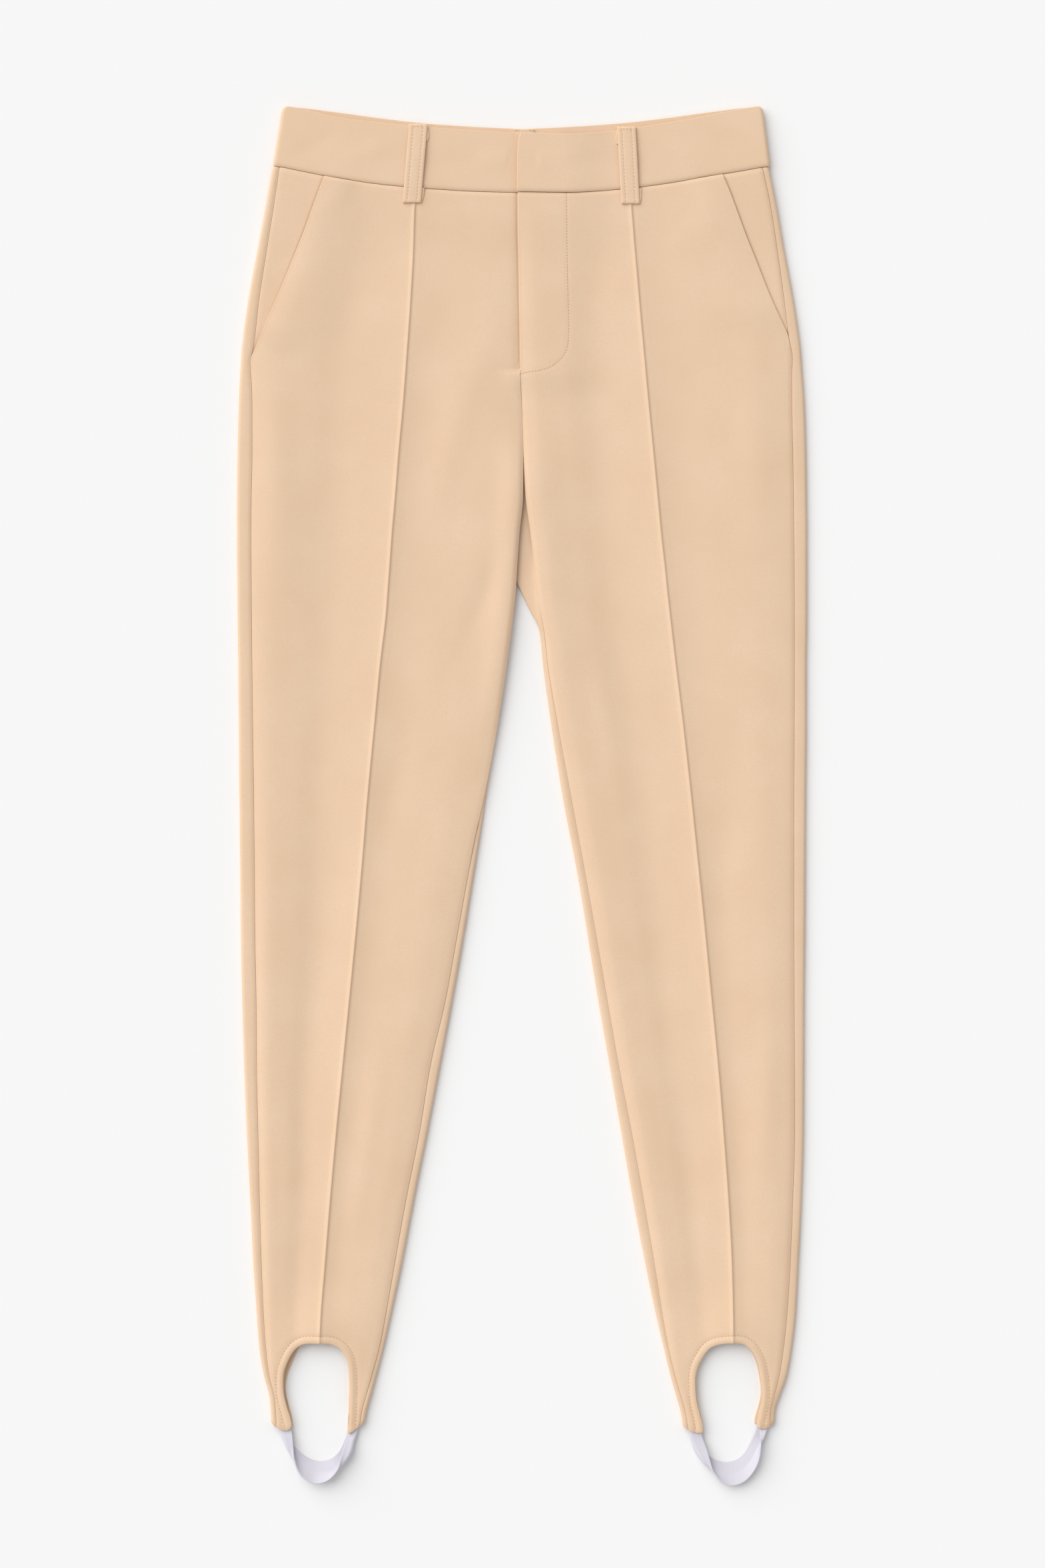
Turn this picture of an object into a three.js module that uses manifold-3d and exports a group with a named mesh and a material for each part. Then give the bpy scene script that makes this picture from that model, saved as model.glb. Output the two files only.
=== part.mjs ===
// Slim stirrup trousers laid flat, front side up. x runs to the wearer's left, y to the waist, z up from the
// surface. A place on the garment is given by `out`, its distance from the centre line on its own side, and
// `down`, its distance below the waist's side corners.
import * as THREE from 'three';
import { mergeVertices } from 'three/addons/utils/BufferGeometryUtils.js';
import Module from 'manifold-3d';

// ---- Driving dimensions, mm ----
const LENGTH = 1064;        // waist's side corners to the foot of the stirrups
const CLOTH = 1.4;          // heavy stretch suiting, one layer
const BAND = 2.2;           // waistband: two layers on interfacing
const LOOP = 1.6;           // belt loop strip
const ELASTIC = 1.15;       // stirrup elastic
const TAG = 0.7;            // woven tag
const SEAM = 0.3;           // gap that parts two pieces at a seam

const BAND_TOP = 46;        // `down` where the side corner of the band meets the panels
const BACK_LIE = 0.7;       // height of the back cloth's middle where it lies on the surface
const BACK_WAIST = 2.8;     // the same at the waist, carried by the belt loops under it
const LIE_FROM = 120;       // `down` where both layers have come to lie flat below the waist
const FRONT_LIE = 4.7;      // height of the front cloth's middle over the back
const FRONT_WAIST = 6.5;    // the same at the waist
const HEM_LIFT = 0.7;       // the front rises this much over the elastic in the hem
const HEM_FROM = 957;       // `down` where that rise begins
const HEM_FULL = 1007;      // `down` where it is whole
const LAP = 1.7;            // rise of a panel that lies over another panel
const BAND_LAP = 2.5;       // rise of the left band over the right one
const FLY_WIDTH = 32;       // the lap's flat width from the centre line
const FLY_EASE = 14;        // width over which the lap falls back to the panel
const FLY_END = 204;        // `down` where the fly and pocket openings end
const LAP_GONE = 230;       // `down` where their laps have fallen back to the panel
const FLY_SHIELD = 30;      // width of the shield behind the zip
const POCKET_END = 196;     // `down` where the pocket opening meets the side seam
const POCKET_UNDER = 10;    // how far the pocket's side piece runs on below the front
const POCKET_FLAT = 12;     // width over which the front stays raised beside the pocket opening
const POCKET_EASE = 14;     // width over which it falls back
const POCKET_FOOT = 186;    // `down` where the side piece and the fly shield end
const STRAIGHT_FROM = 140;  // `down` where the panels' rows no longer follow the curved waist
const TUCK_START = 60;      // the pintuck shows from under the belt loop
const TUCK_EASE = 7;        // length over which it rises there
const LOOP_WIDTH = 14.3;
const LOOP_HANG = 9;        // a back loop ends this far below the waist seam
const FRONT_LOOP_HANG = 12; // the same on the front
const LOOP_STAND = 1.2;     // a front loop's top stands this far above the band's edge
const BACK_LOOP_OUT = 95;   // place of the two side-back belt loops
const UNDERLAP_DROP = 0.8;  // the right band's end lies this much lower, out of sight under the left one
const TAG_WIDTH = 16;
const TAG_DEPTH = 12;
const TAG_OUT = 1.3;        // the tag's middle, to the wearer's left of the centre line
const ALL = 9;              // in a table: the back's turned edge rises all the way to the front

const LOW = 1.7;            // rise of a seam allowance that is folded flat on the back
const MID = 2.3;            // rise of the back's inner thigh where it lies below the fronts

// A leg, section by section. outer: side silhouette. side: side seam. tuck: viewer's right foot of the pintuck.
// edge: the front panel's inner edge. fold: the back panel's inner fold. lap: end of the back's turned part.
// foldRise, lapRise: height of the turned part above the back, at the fold and at its end.
const LEG_NAMES = ['down', 'outer', 'side', 'tuck', 'edge', 'fold', 'lap', 'foldRise', 'lapRise'];
const RIGHT_LEG = table(LEG_NAMES, [
  [46, 192.8, 187.5, 82.0, -3.0, 0.15, 6.0, LOW, LOW],
  [75, 198.0, 191.7, 83.0, -3.0, 0.15, 6.0, LOW, LOW],
  [110, 204.5, 197.3, 83.8, -3.0, 0.15, 6.0, LOW, LOW],
  [150, 211.8, 203.5, 85.8, -3.0, 0.15, 6.0, LOW, LOW],
  [190, 217.0, 209.6, 88.6, -3.0, 0.15, 6.0, LOW, LOW],
  [204, 217.8, 208.8, 89.6, 1.8, 0.15, 6.0, LOW, LOW],
  [230, 219.0, 208.7, 91.6, 0.6, 0.15, 6.0, LOW, LOW],
  [269, 220.0, 208.7, 95.2, -0.55, 4.0, 10.0, LOW, LOW],
  [300, 220.4, 209.3, 97.6, -0.4, 12.6, 18.6, LOW, LOW],
  [330, 220.5, 209.6, 100.2, 2.4, 12.6, 18.6, LOW, LOW],
  [358, 220.3, 209.4, 102.2, 4.3, 12.6, 18.6, LOW, LOW],
  [372, 220.1, 209.3, 103.3, 5.1, 9.8, 16.0, 2.0, 2.0],
  [388, 220.0, 209.2, 104.4, 6.7, 8.2, 14.5, MID, MID],
  [430, 219.5, 208.8, 109.2, 12.1, 12.6, 18.6, MID, MID],
  [480, 219.0, 208.2, 114.0, 19.0, 19.5, 25.5, MID, MID],
  [535, 218.5, 207.4, 119.2, 27.8, 28.3, 34.5, MID, MID],
  [548, 218.4, 207.3, 120.3, 33.2, 30.0, 32.9, MID, MID],
  [561, 218.3, 207.2, 121.3, 35.5, 31.9, 35.2, ALL, ALL],
  [592, 217.8, 206.9, 123.9, 41.1, 37.7, 40.8, ALL, ALL],
  [640, 217.4, 206.5, 128.3, 50.6, 45.6, 50.3, ALL, ALL],
  [690, 216.4, 205.6, 133.2, 59.7, 54.2, 59.4, ALL, ALL],
  [740, 214.9, 205.3, 138.2, 71.2, 63.6, 70.9, ALL, ALL],
  [790, 212.9, 204.2, 143.1, 79.4, 73.1, 79.1, ALL, ALL],
  [845, 210.1, 203.0, 148.0, 90.3, 84.1, 90.0, ALL, ALL],
  [895, 207.7, 201.5, 152.0, 99.2, 93.5, 98.9, ALL, ALL],
  [930, 205.3, 200.0, 154.8, 105.3, 101.0, 105.0, ALL, ALL],
  [957, 203.3, 198.2, 156.0, 110.6, 107.0, 110.3, ALL, ALL],
  [980, 199.4, 195.4, 157.0, 116.8, 113.0, 116.5, ALL, ALL],
  [994, 195.6, 191.8, 157.6, 120.6, 116.8, 120.3, ALL, ALL],
  [1007, 194.3, 190.5, 158.0, 124.1, 120.3, 123.8, ALL, ALL],
  [1026, 193.5, 189.7, 158.4, 126.8, 123.0, 126.5, ALL, ALL],
]);
const LEFT_LEG = table(LEG_NAMES, [
  [46, 190.0, 185.3, 83.3, -3.6, 0.15, 6.0, LOW, LOW],
  [75, 195.8, 191.2, 85.3, -3.5, 0.15, 6.0, LOW, LOW],
  [110, 202.0, 196.0, 87.4, -3.0, 0.15, 6.0, LOW, LOW],
  [150, 209.3, 202.6, 90.5, -2.4, 0.15, 6.0, LOW, LOW],
  [190, 214.8, 208.2, 94.1, -1.8, 0.15, 6.0, LOW, LOW],
  [204, 215.8, 207.9, 95.4, -1.5, 0.15, 6.0, LOW, LOW],
  [230, 217.6, 207.9, 97.8, -0.3, 0.15, 6.0, LOW, LOW],
  [269, 218.8, 208.8, 101.6, 0.85, -3.7, 4.0, MID, MID],
  [300, 219.2, 209.2, 104.6, 2.4, -12.3, 5.4, MID, MID],
  [330, 219.5, 209.5, 107.4, 6.5, -12.3, 9.5, MID, MID],
  [358, 219.5, 209.8, 110.5, 9.6, -9.1, 9.3, MID, MID],
  [372, 219.5, 209.9, 111.9, 11.0, -2.4, 10.7, MID, 3.0],
  [388, 219.5, 210.0, 113.7, 13.2, 5.2, 12.9, 2.5, 3.6],
  [404, 219.4, 210.0, 115.5, 16.6, 13.0, 16.3, ALL, ALL],
  [430, 219.0, 210.0, 118.6, 19.5, 15.7, 19.2, ALL, ALL],
  [480, 219.0, 209.8, 124.7, 27.8, 22.6, 27.5, ALL, ALL],
  [535, 218.5, 209.5, 130.8, 38.0, 31.4, 37.7, ALL, ALL],
  [592, 218.2, 209.5, 136.7, 48.5, 42.3, 48.2, ALL, ALL],
  [640, 217.9, 209.5, 141.6, 57.0, 50.3, 56.7, ALL, ALL],
  [690, 217.4, 209.7, 146.4, 65.6, 58.4, 65.3, ALL, ALL],
  [740, 217.2, 210.1, 151.3, 74.3, 67.2, 74.0, ALL, ALL],
  [790, 216.9, 210.2, 155.4, 84.0, 75.9, 83.7, ALL, ALL],
  [845, 215.3, 208.6, 159.4, 93.8, 85.5, 93.5, ALL, ALL],
  [895, 212.8, 206.6, 162.0, 102.2, 95.2, 101.9, ALL, ALL],
  [930, 211.0, 204.4, 162.8, 107.8, 102.5, 107.5, ALL, ALL],
  [957, 208.0, 201.6, 163.0, 112.6, 108.8, 112.3, ALL, ALL],
  [980, 203.8, 198.0, 163.0, 118.2, 114.4, 117.9, ALL, ALL],
  [994, 198.9, 194.4, 163.0, 122.2, 118.4, 121.9, ALL, ALL],
  [1007, 194.9, 191.1, 163.0, 125.8, 122.0, 125.5, ALL, ALL],
  [1026, 194.6, 190.8, 163.0, 128.6, 124.8, 128.3, ALL, ALL],
]);

// The waist, from the centre line out. front, back: top edges. seam, backSeam: where the panels are sewn on.
const WAIST_NAMES = ['out', 'front', 'back', 'seam', 'backSeam'];
const RIGHT_WAIST = table(WAIST_NAMES, [
  [0, 21.1, 17.5, 66.9, 63.5],
  [35, 19.0, 15.8, 66.0, 62.0],
  [72, 16.4, 13.3, 63.8, 59.4],
  [105, 13.3, 9.7, 60.9, 56.0],
  [140, 9.0, 5.0, 56.1, 51.3],
  [170, 2.4, 1.2, 50.4, 48.4],
  [186, 0, 0, 47.2, 47.2],
  [194, 0, 0, 46.2, 46.2],
]);
const LEFT_WAIST = table(WAIST_NAMES, [
  [0, 20.7, 17.5, 66.4, 63.5],
  [35, 21.8, 15.8, 66.8, 62.0],
  [72, 18.9, 13.3, 64.6, 59.4],
  [105, 14.0, 9.7, 60.7, 56.0],
  [140, 8.0, 5.0, 55.0, 51.3],
  [170, 2.2, 1.2, 50.0, 48.4],
  [186, 0, 0, 47.2, 47.2],
  [194, 0, 0, 46.2, 46.2],
]);
// How the band's sides lean, and the shape of the left band's lapped end, from its top (0) to its seam (1).
const BAND_NAMES = ['share', 'rightSide', 'leftSide', 'lapEnd'];
const BAND_ROWS = table(BAND_NAMES, [
  [0, 183.0, 183.0, -1.0],
  [0.05, 185.2, 185.2, -2.4],
  [0.33, 187.6, 187.2, -4.1],
  [0.66, 190.2, 189.2, -4.3],
  [1, 192.8, 191.2, -4.4],
]);

// The hem of a leg, from its inner tongue round the arch to its outer tongue. back: how far the back's edge
// stands into the arch.
const HEM_NAMES = ['out', 'down', 'back'];
const RIGHT_HEM = table(HEM_NAMES, [
  [115.0, 1009.0, 0], [121.8, 1015.7, 0], [127.8, 1020.7, 0], [133.3, 1023.9, 0], [134.9, 1021.0, 0],
  [134.3, 1008.0, 0], [133.7, 988.0, 0], [134.7, 970.0, 0], [138.0, 961.3, 0], [142.5, 956.9, 0],
  [149.0, 954.3, 0], [158.0, 954.0, 0], [166.7, 954.1, 0], [173.0, 956.6, 1.5], [177.8, 962.0, 3.2],
  [181.7, 969.9, 3.6], [183.7, 977.6, 2.6], [184.2, 985.7, 1.0], [183.7, 993.6, 0], [182.1, 1001.3, 0],
  [179.7, 1009.3, 0], [177.8, 1017.4, 0], [179.2, 1020.2, 0], [182.5, 1021.3, 0], [189.6, 1018.3, 0],
  [192.8, 1013.5, 0], [198.0, 1004.0, 0],
]);
const LEFT_HEM = table(HEM_NAMES, [
  [117.0, 1006.0, 0], [124.4, 1018.0, 0], [128.5, 1021.0, 0], [133.4, 1022.9, 0], [139.5, 1023.4, 0],
  [138.3, 1013.1, 0], [135.2, 999.7, 0], [134.1, 987.7, 0], [134.3, 976.6, -0.5], [137.1, 968.4, -0.8],
  [143.1, 959.1, 0], [149.1, 955.5, 0], [156.0, 954.0, 0], [163.1, 953.7, 0], [169.8, 954.3, 0.5],
  [175.8, 958.6, 0.8], [180.7, 967.1, 0.9], [183.2, 978.0, 0.8], [184.4, 990.0, 0.5], [183.8, 999.7, 1.0],
  [181.3, 1012.0, 2.0], [180.7, 1016.7, 1.2], [183.8, 1020.3, 0], [189.0, 1018.9, 0], [192.8, 1016.2, 0],
  [194.7, 1011.0, 0], [199.0, 1002.0, 0],
]);

// A stirrup, station by station from its inner end. b, m, f: back edge, middle line and front edge of the
// elastic. Folded at both ends, with the middle line outside, it opens under the foot.
const STIRRUP_NAMES = ['bOut', 'bDown', 'bZ', 'mOut', 'mDown', 'mZ', 'fOut', 'fDown', 'fZ'];
const RIGHT_STIRRUP = table(STIRRUP_NAMES, [
  [134.3, 1008.0, 2.3, 126.6, 1006.0, 3.05, 134.0, 1008.5, 3.8],
  [134.3, 1023.9, 2.3, 127.4, 1021.4, 3.05, 133.6, 1024.0, 3.8],
  [137.2, 1029.5, 1.8, 129.9, 1031.6, 2.6, 136.5, 1029.9, 4.4],
  [139.8, 1035.0, 1.3, 133.0, 1040.0, 2.2, 138.8, 1037.0, 7.6],
  [142.6, 1039.4, 0.9, 138.6, 1047.0, 3.0, 142.5, 1047.4, 9.8],
  [147.2, 1043.0, 0.7, 146.4, 1051.4, 3.6, 147.6, 1057.4, 9.6],
  [156.8, 1045.4, 0.7, 157.2, 1053.2, 4.2, 157.8, 1061.6, 9.0],
  [163.0, 1044.6, 0.7, 165.4, 1051.6, 3.8, 167.0, 1058.2, 9.4],
  [168.8, 1041.4, 0.9, 172.4, 1047.6, 3.2, 173.2, 1050.6, 9.8],
  [173.6, 1036.6, 1.3, 178.4, 1040.4, 2.4, 175.2, 1041.0, 8.4],
  [176.2, 1030.6, 1.8, 182.9, 1031.4, 2.5, 176.6, 1031.2, 5.0],
  [178.6, 1021.6, 2.3, 186.6, 1020.6, 3.05, 179.2, 1021.9, 3.8],
  [180.5, 1008.0, 2.3, 188.2, 1006.0, 3.05, 180.8, 1008.5, 3.8],
]);
const LEFT_STIRRUP = table(STIRRUP_NAMES, [
  [138.6, 1008.0, 2.3, 129.8, 1006.0, 3.05, 138.2, 1008.5, 3.8],
  [139.6, 1023.6, 2.3, 129.4, 1021.6, 3.05, 138.6, 1024.0, 3.8],
  [142.2, 1030.4, 1.8, 131.4, 1030.2, 2.5, 140.9, 1030.6, 4.0],
  [144.6, 1038.4, 1.4, 134.8, 1038.2, 2.2, 143.2, 1038.4, 5.6],
  [148.4, 1043.6, 1.0, 140.4, 1046.2, 2.4, 145.9, 1046.8, 7.6],
  [153.0, 1045.2, 0.7, 148.4, 1053.4, 2.8, 149.4, 1055.6, 8.0],
  [158.6, 1045.6, 0.7, 158.0, 1054.0, 2.8, 159.0, 1063.2, 6.4],
  [163.0, 1044.4, 0.7, 165.8, 1052.8, 2.6, 168.0, 1062.6, 6.0],
  [168.4, 1041.0, 0.8, 173.4, 1048.0, 2.6, 178.6, 1054.0, 6.8],
  [172.6, 1036.4, 1.0, 178.8, 1040.6, 2.7, 182.6, 1044.2, 7.8],
  [175.6, 1031.0, 1.4, 183.4, 1033.0, 2.7, 184.2, 1034.4, 7.2],
  [178.6, 1024.2, 1.9, 187.2, 1025.2, 2.8, 183.8, 1026.4, 5.0],
  [180.6, 1017.6, 2.3, 189.0, 1017.0, 3.05, 183.0, 1018.4, 3.8],
  [182.6, 1006.6, 2.3, 190.2, 1005.0, 3.05, 183.2, 1007.0, 3.8],
]);

const SIDES = {
  right: { sign: -1, leg: RIGHT_LEG, waist: RIGHT_WAIST, hem: RIGHT_HEM, stirrup: RIGHT_STIRRUP,
    bandSide: 'rightSide', pocketTop: [152.7, 54], loopTop: 80.2, loopFoot: 85.3 },
  left: { sign: 1, leg: LEFT_LEG, waist: LEFT_WAIST, hem: LEFT_HEM, stirrup: LEFT_STIRRUP,
    bandSide: 'leftSide', pocketTop: [154.2, 53], loopTop: 80.1, loopFoot: 83.2 },
};

// ---- Small tools ----
function table(names, rows) {
  return rows.map((row) => Object.fromEntries(row.map((value, i) => [names[i], value])));
}

const mix = (a, b, share) => a + (b - a) * share;

function ease(from, to, at) {
  const share = THREE.MathUtils.clamp((at - from) / (to - from), 0, 1);
  return share * share * (3 - 2 * share);
}

// The value of one column of a table, where another column has the value `at`.
function read(rows, by, name, at) {
  let i = 0;
  while (i < rows.length - 2 && rows[i + 1][by] < at) i += 1;
  const share = THREE.MathUtils.clamp((at - rows[i][by]) / (rows[i + 1][by] - rows[i][by]), 0, 1);
  return mix(rows[i][name], rows[i + 1][name], share);
}

const point = (side, out, down, z) => new THREE.Vector3(side.sign * out, LENGTH / 2 - down, z);

// A closed wall between two grids of points of the same size.
function wall(outer, inner) {
  const rows = outer.length;
  const columns = outer[0].length;
  const positions = [];
  [...outer, ...inner].forEach((row) => row.forEach((p) => positions.push(p.x, p.y, p.z)));
  const faces = [];
  const quad = (a, b, c, d) => faces.push(a, b, c, a, c, d);
  const id = (layer, i, j) => (layer * rows + i) * columns + j;
  for (let i = 0; i + 1 < rows; i += 1) {
    for (let j = 0; j + 1 < columns; j += 1) {
      quad(id(0, i, j), id(0, i, j + 1), id(0, i + 1, j + 1), id(0, i + 1, j));
      quad(id(1, i, j), id(1, i + 1, j), id(1, i + 1, j + 1), id(1, i, j + 1));
    }
  }
  for (let i = 0; i + 1 < rows; i += 1) {
    quad(id(0, i, 0), id(0, i + 1, 0), id(1, i + 1, 0), id(1, i, 0));
    quad(id(0, i + 1, columns - 1), id(0, i, columns - 1), id(1, i, columns - 1), id(1, i + 1, columns - 1));
  }
  for (let j = 0; j + 1 < columns; j += 1) {
    quad(id(0, 0, j + 1), id(0, 0, j), id(1, 0, j), id(1, 0, j + 1));
    quad(id(0, rows - 1, j), id(0, rows - 1, j + 1), id(1, rows - 1, j + 1), id(1, rows - 1, j));
  }
  return facingOut(positions, faces);
}

// Makes the geometry and turns its faces outwards if they all face in.
function facingOut(positions, faces) {
  const corner = (i) => new THREE.Vector3().fromArray(positions, 3 * faces[i]);
  let volume = 0;
  for (let i = 0; i < faces.length; i += 3) volume += corner(i).dot(corner(i + 1).cross(corner(i + 2)));
  if (volume < 0) faces.reverse();
  const geometry = new THREE.BufferGeometry();
  geometry.setAttribute('position', new THREE.Float32BufferAttribute(positions, 3));
  geometry.setIndex(faces);
  return geometry;
}

// ---- Heights ----
const waistShare = (row) => 1 - ease(BAND_TOP, LIE_FROM, row);
const backHeight = (row) => mix(BACK_LIE, BACK_WAIST, waistShare(row));
const frontHeight = (row) => (
  mix(FRONT_LIE, FRONT_WAIST, waistShare(row)) + HEM_LIFT * ease(HEM_FROM, HEM_FULL, row));

// The rows of a panel start at the curved waist seam and straighten out below it.
function rowDown(side, row, out, seamName) {
  const seam = read(side.waist, 'out', seamName, Math.abs(out)) + SEAM;
  return row + (seam - BAND_TOP) * (1 - ease(BAND_TOP, STRAIGHT_FROM, row));
}

const pocketOut = (side, down) => {
  const [topOut, topDown] = side.pocketTop;
  const endOut = read(side.leg, 'down', 'side', POCKET_END);
  return mix(topOut, endOut, (down - topDown) / (POCKET_END - topDown));
};

// The front's outer edge: the pocket opening, then the side seam.
function frontOuter(side, row) {
  const seam = read(side.leg, 'down', 'side', row) - SEAM;
  if (row >= POCKET_END) return seam;
  let out = seam;
  for (let turn = 0; turn < 6; turn += 1) {
    out = Math.min(seam, pocketOut(side, rowDown(side, row, out, 'seam')));
  }
  return out;
}

// How far a front panel stands over what it laps: the pocket's side piece, and on the left the fly.
function lapRise(side, row, out, outer) {
  const ends = 1 - ease(FLY_END, LAP_GONE, row);
  const pocket = 1 - ease(POCKET_FLAT, POCKET_FLAT + POCKET_EASE, outer - out);
  const fly = side.sign > 0 ? 1 - ease(FLY_WIDTH, FLY_WIDTH + FLY_EASE, out) : 0;
  return LAP * ends * Math.max(pocket, fly);
}

// ---- Panels ----
const panelRows = (side) => (
  [...side.leg.map((row) => row.down), TUCK_START, TUCK_START + TUCK_EASE].sort((a, b) => a - b));
const TUCK_FEET = [[-3.6, 0], [-2.8, 1.7], [-0.7, 2.0], [0, 0.1]];  // across to the viewer's right, and height
const INSIDE_TUCK = [0, 0.2, 0.41, 0.54, 0.78];       // shares of the way from the inner edge to the tuck
const OUTSIDE_TUCK = [0.3, 0.55, 0.75, 0.88, 1];      // shares of the way from the tuck to the outer edge

function frontPanel(side) {
  const outer = [];
  const inner = [];
  for (const row of panelRows(side)) {
    const edge = read(side.leg, 'down', 'edge', row);
    const tuck = read(side.leg, 'down', 'tuck', row);
    const end = frontOuter(side, row);
    const feet = TUCK_FEET.map(([across, height]) => [tuck + side.sign * across, height]);
    feet.sort((a, b) => a[0] - b[0]);
    const places = INSIDE_TUCK.map((share) => [mix(edge, feet[0][0], share), 0]);
    places.push(...feet);
    places.push(...OUTSIDE_TUCK.map((share) => [mix(feet[3][0], end, share), 0]));
    const middle = (out) => frontHeight(row) + lapRise(side, row, out, end);
    const ridge = row > TUCK_START ? 1 : 0;
    outer.push(places.map(([out, height]) =>
      point(side, out, rowDown(side, row, out, 'seam'), middle(out) + CLOTH / 2 + ridge * height)));
    inner.push(places.map(([out]) =>
      point(side, out, rowDown(side, row, out, 'seam'), middle(out) - CLOTH / 2)));
  }
  return cutHem(wall(outer, inner), side, false);
}

// A back panel lies on the surface, folds round both edges of the leg and ends at the seams on the front.
const HALF_TURN = [0, 0.25, 0.5, 0.75, 1].map((share) => share * Math.PI);

function backSection(side, row) {
  const leg = Object.fromEntries(LEG_NAMES.map((name) => [name, read(side.leg, 'down', name, row)]));
  const low = backHeight(row);
  const full = frontHeight(row) - low;
  const foldRise = Math.min(leg.foldRise, full);
  const lapEndRise = Math.min(leg.lapRise, full);
  const inner = foldRise / 2 + CLOTH / 2;
  const outer = full / 2 + CLOTH / 2;
  const section = [{ out: leg.lap, z: low + lapEndRise, nOut: 0, nZ: 1 }];
  for (const turn of HALF_TURN) {
    const nOut = -Math.sin(turn);
    const nZ = Math.cos(turn);
    section.push({ out: leg.fold + inner + nOut * foldRise / 2, z: low + foldRise / 2 * (1 + nZ), nOut, nZ });
  }
  for (const share of [0.2, 0.4, 0.6, 0.8]) {
    section.push({ out: mix(leg.fold + inner, leg.outer - outer, share), z: low, nOut: 0, nZ: -1 });
  }
  for (const turn of HALF_TURN) {
    const nOut = Math.sin(turn);
    const nZ = -Math.cos(turn);
    section.push({ out: leg.outer - outer + nOut * full / 2, z: low + full / 2 * (1 + nZ), nOut, nZ });
  }
  section.push({ out: leg.side, z: low + full, nOut: 0, nZ: 1 });
  return section;
}

function backPanel(side) {
  const outer = [];
  const inner = [];
  for (const row of panelRows(side)) {
    const section = backSection(side, row);
    const onFront = section.length - 3;
    const lay = (p, column, shift) => {
      const seamName = column >= onFront ? 'seam' : 'backSeam';
      return point(side, p.out + p.nOut * shift, rowDown(side, row, p.out, seamName), p.z + p.nZ * shift);
    };
    outer.push(section.map((p, column) => lay(p, column, CLOTH / 2)));
    inner.push(section.map((p, column) => lay(p, column, -CLOTH / 2)));
  }
  return cutHem(wall(outer, inner), side, true);
}

// ---- Hem arch ----
const LEG_END = 1040;    // `down` below every panel
const CUT_MARGIN = 20;   // the cutting block stands this far past the leg
const wasm = await Module();
wasm.setup();

function solid(geometry) {
  const plain = geometry.clone();
  plain.deleteAttribute('normal');
  plain.deleteAttribute('uv');
  const merged = mergeVertices(plain, 1e-4);
  const vertProperties = new Float32Array(merged.attributes.position.array);
  const triVerts = new Uint32Array(merged.index.array);
  return new wasm.Manifold(new wasm.Mesh({ numProp: 3, vertProperties, triVerts }));
}

function cutHem(geometry, side, isBack) {
  const edge = side.hem.map((row) => {
    const p = point(side, row.out - (isBack ? row.back : 0), row.down, 0);
    return new THREE.Vector2(p.x, p.y);
  });
  const first = edge[0];
  const last = edge[edge.length - 1];
  const below = LENGTH / 2 - LEG_END;
  const aside = side.sign * CUT_MARGIN;
  const shape = new THREE.Shape([
    ...edge,
    new THREE.Vector2(last.x + aside, last.y),
    new THREE.Vector2(last.x + aside, below),
    new THREE.Vector2(first.x - aside, below),
    new THREE.Vector2(first.x - aside, first.y),
  ]);
  const cutter = new THREE.ExtrudeGeometry(shape, { depth: 2 * CUT_MARGIN, bevelEnabled: false, steps: 1 });
  cutter.translate(0, 0, -CUT_MARGIN);
  const mesh = solid(geometry).subtract(solid(cutter)).getMesh();
  return facingOut(Array.from(mesh.vertProperties), Array.from(mesh.triVerts));
}

// ---- Pocket side piece: shows between the pocket opening and the side seam ----
const UPPER_ROWS = [BAND_TOP, TUCK_START, 75, 110, 150, POCKET_FOOT];
function pocketPiece(side) {
  const outer = [];
  const inner = [];
  for (const row of UPPER_ROWS) {
    const seam = read(side.leg, 'down', 'side', row) - SEAM;
    const from = frontOuter(side, row) - POCKET_UNDER;
    const places = [0, 0.5, 1].map((share) => mix(from, seam, share));
    const lay = (z) => places.map((out) => point(side, out, rowDown(side, row, out, 'seam'), z));
    outer.push(lay(frontHeight(row) + CLOTH / 2));
    inner.push(lay(frontHeight(row) - CLOTH / 2));
  }
  return wall(outer, inner);
}

// ---- Fly shield with the closed zip, sewn to the right front and covered by the left ----
function flyShield() {
  const side = SIDES.left;
  const outer = [];
  const inner = [];
  for (const row of UPPER_ROWS) {
    const from = SEAM - read(SIDES.right.leg, 'down', 'edge', row);
    const places = [from, FLY_SHIELD / 2, FLY_SHIELD];
    const lay = (z) => places.map((out) => point(side, out, rowDown(side, row, out, 'seam') + SEAM, z));
    outer.push(lay(frontHeight(row) + CLOTH / 2));
    inner.push(lay(frontHeight(row) - CLOTH / 2));
  }
  return wall(outer, inner);
}

// ---- Waistband: from the front closure round the side fold to the centre back ----
const LEFT_BAND_STOPS = [15, FLY_WIDTH - 1, 44, 60, 85, 115, 145, 170];
const RIGHT_BAND_STOPS = [-5, 20, 50, 80, 110, 145, 170];
const BACK_BAND_STOPS = [170, 140, 105, 72, 35, SEAM / 2];

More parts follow.
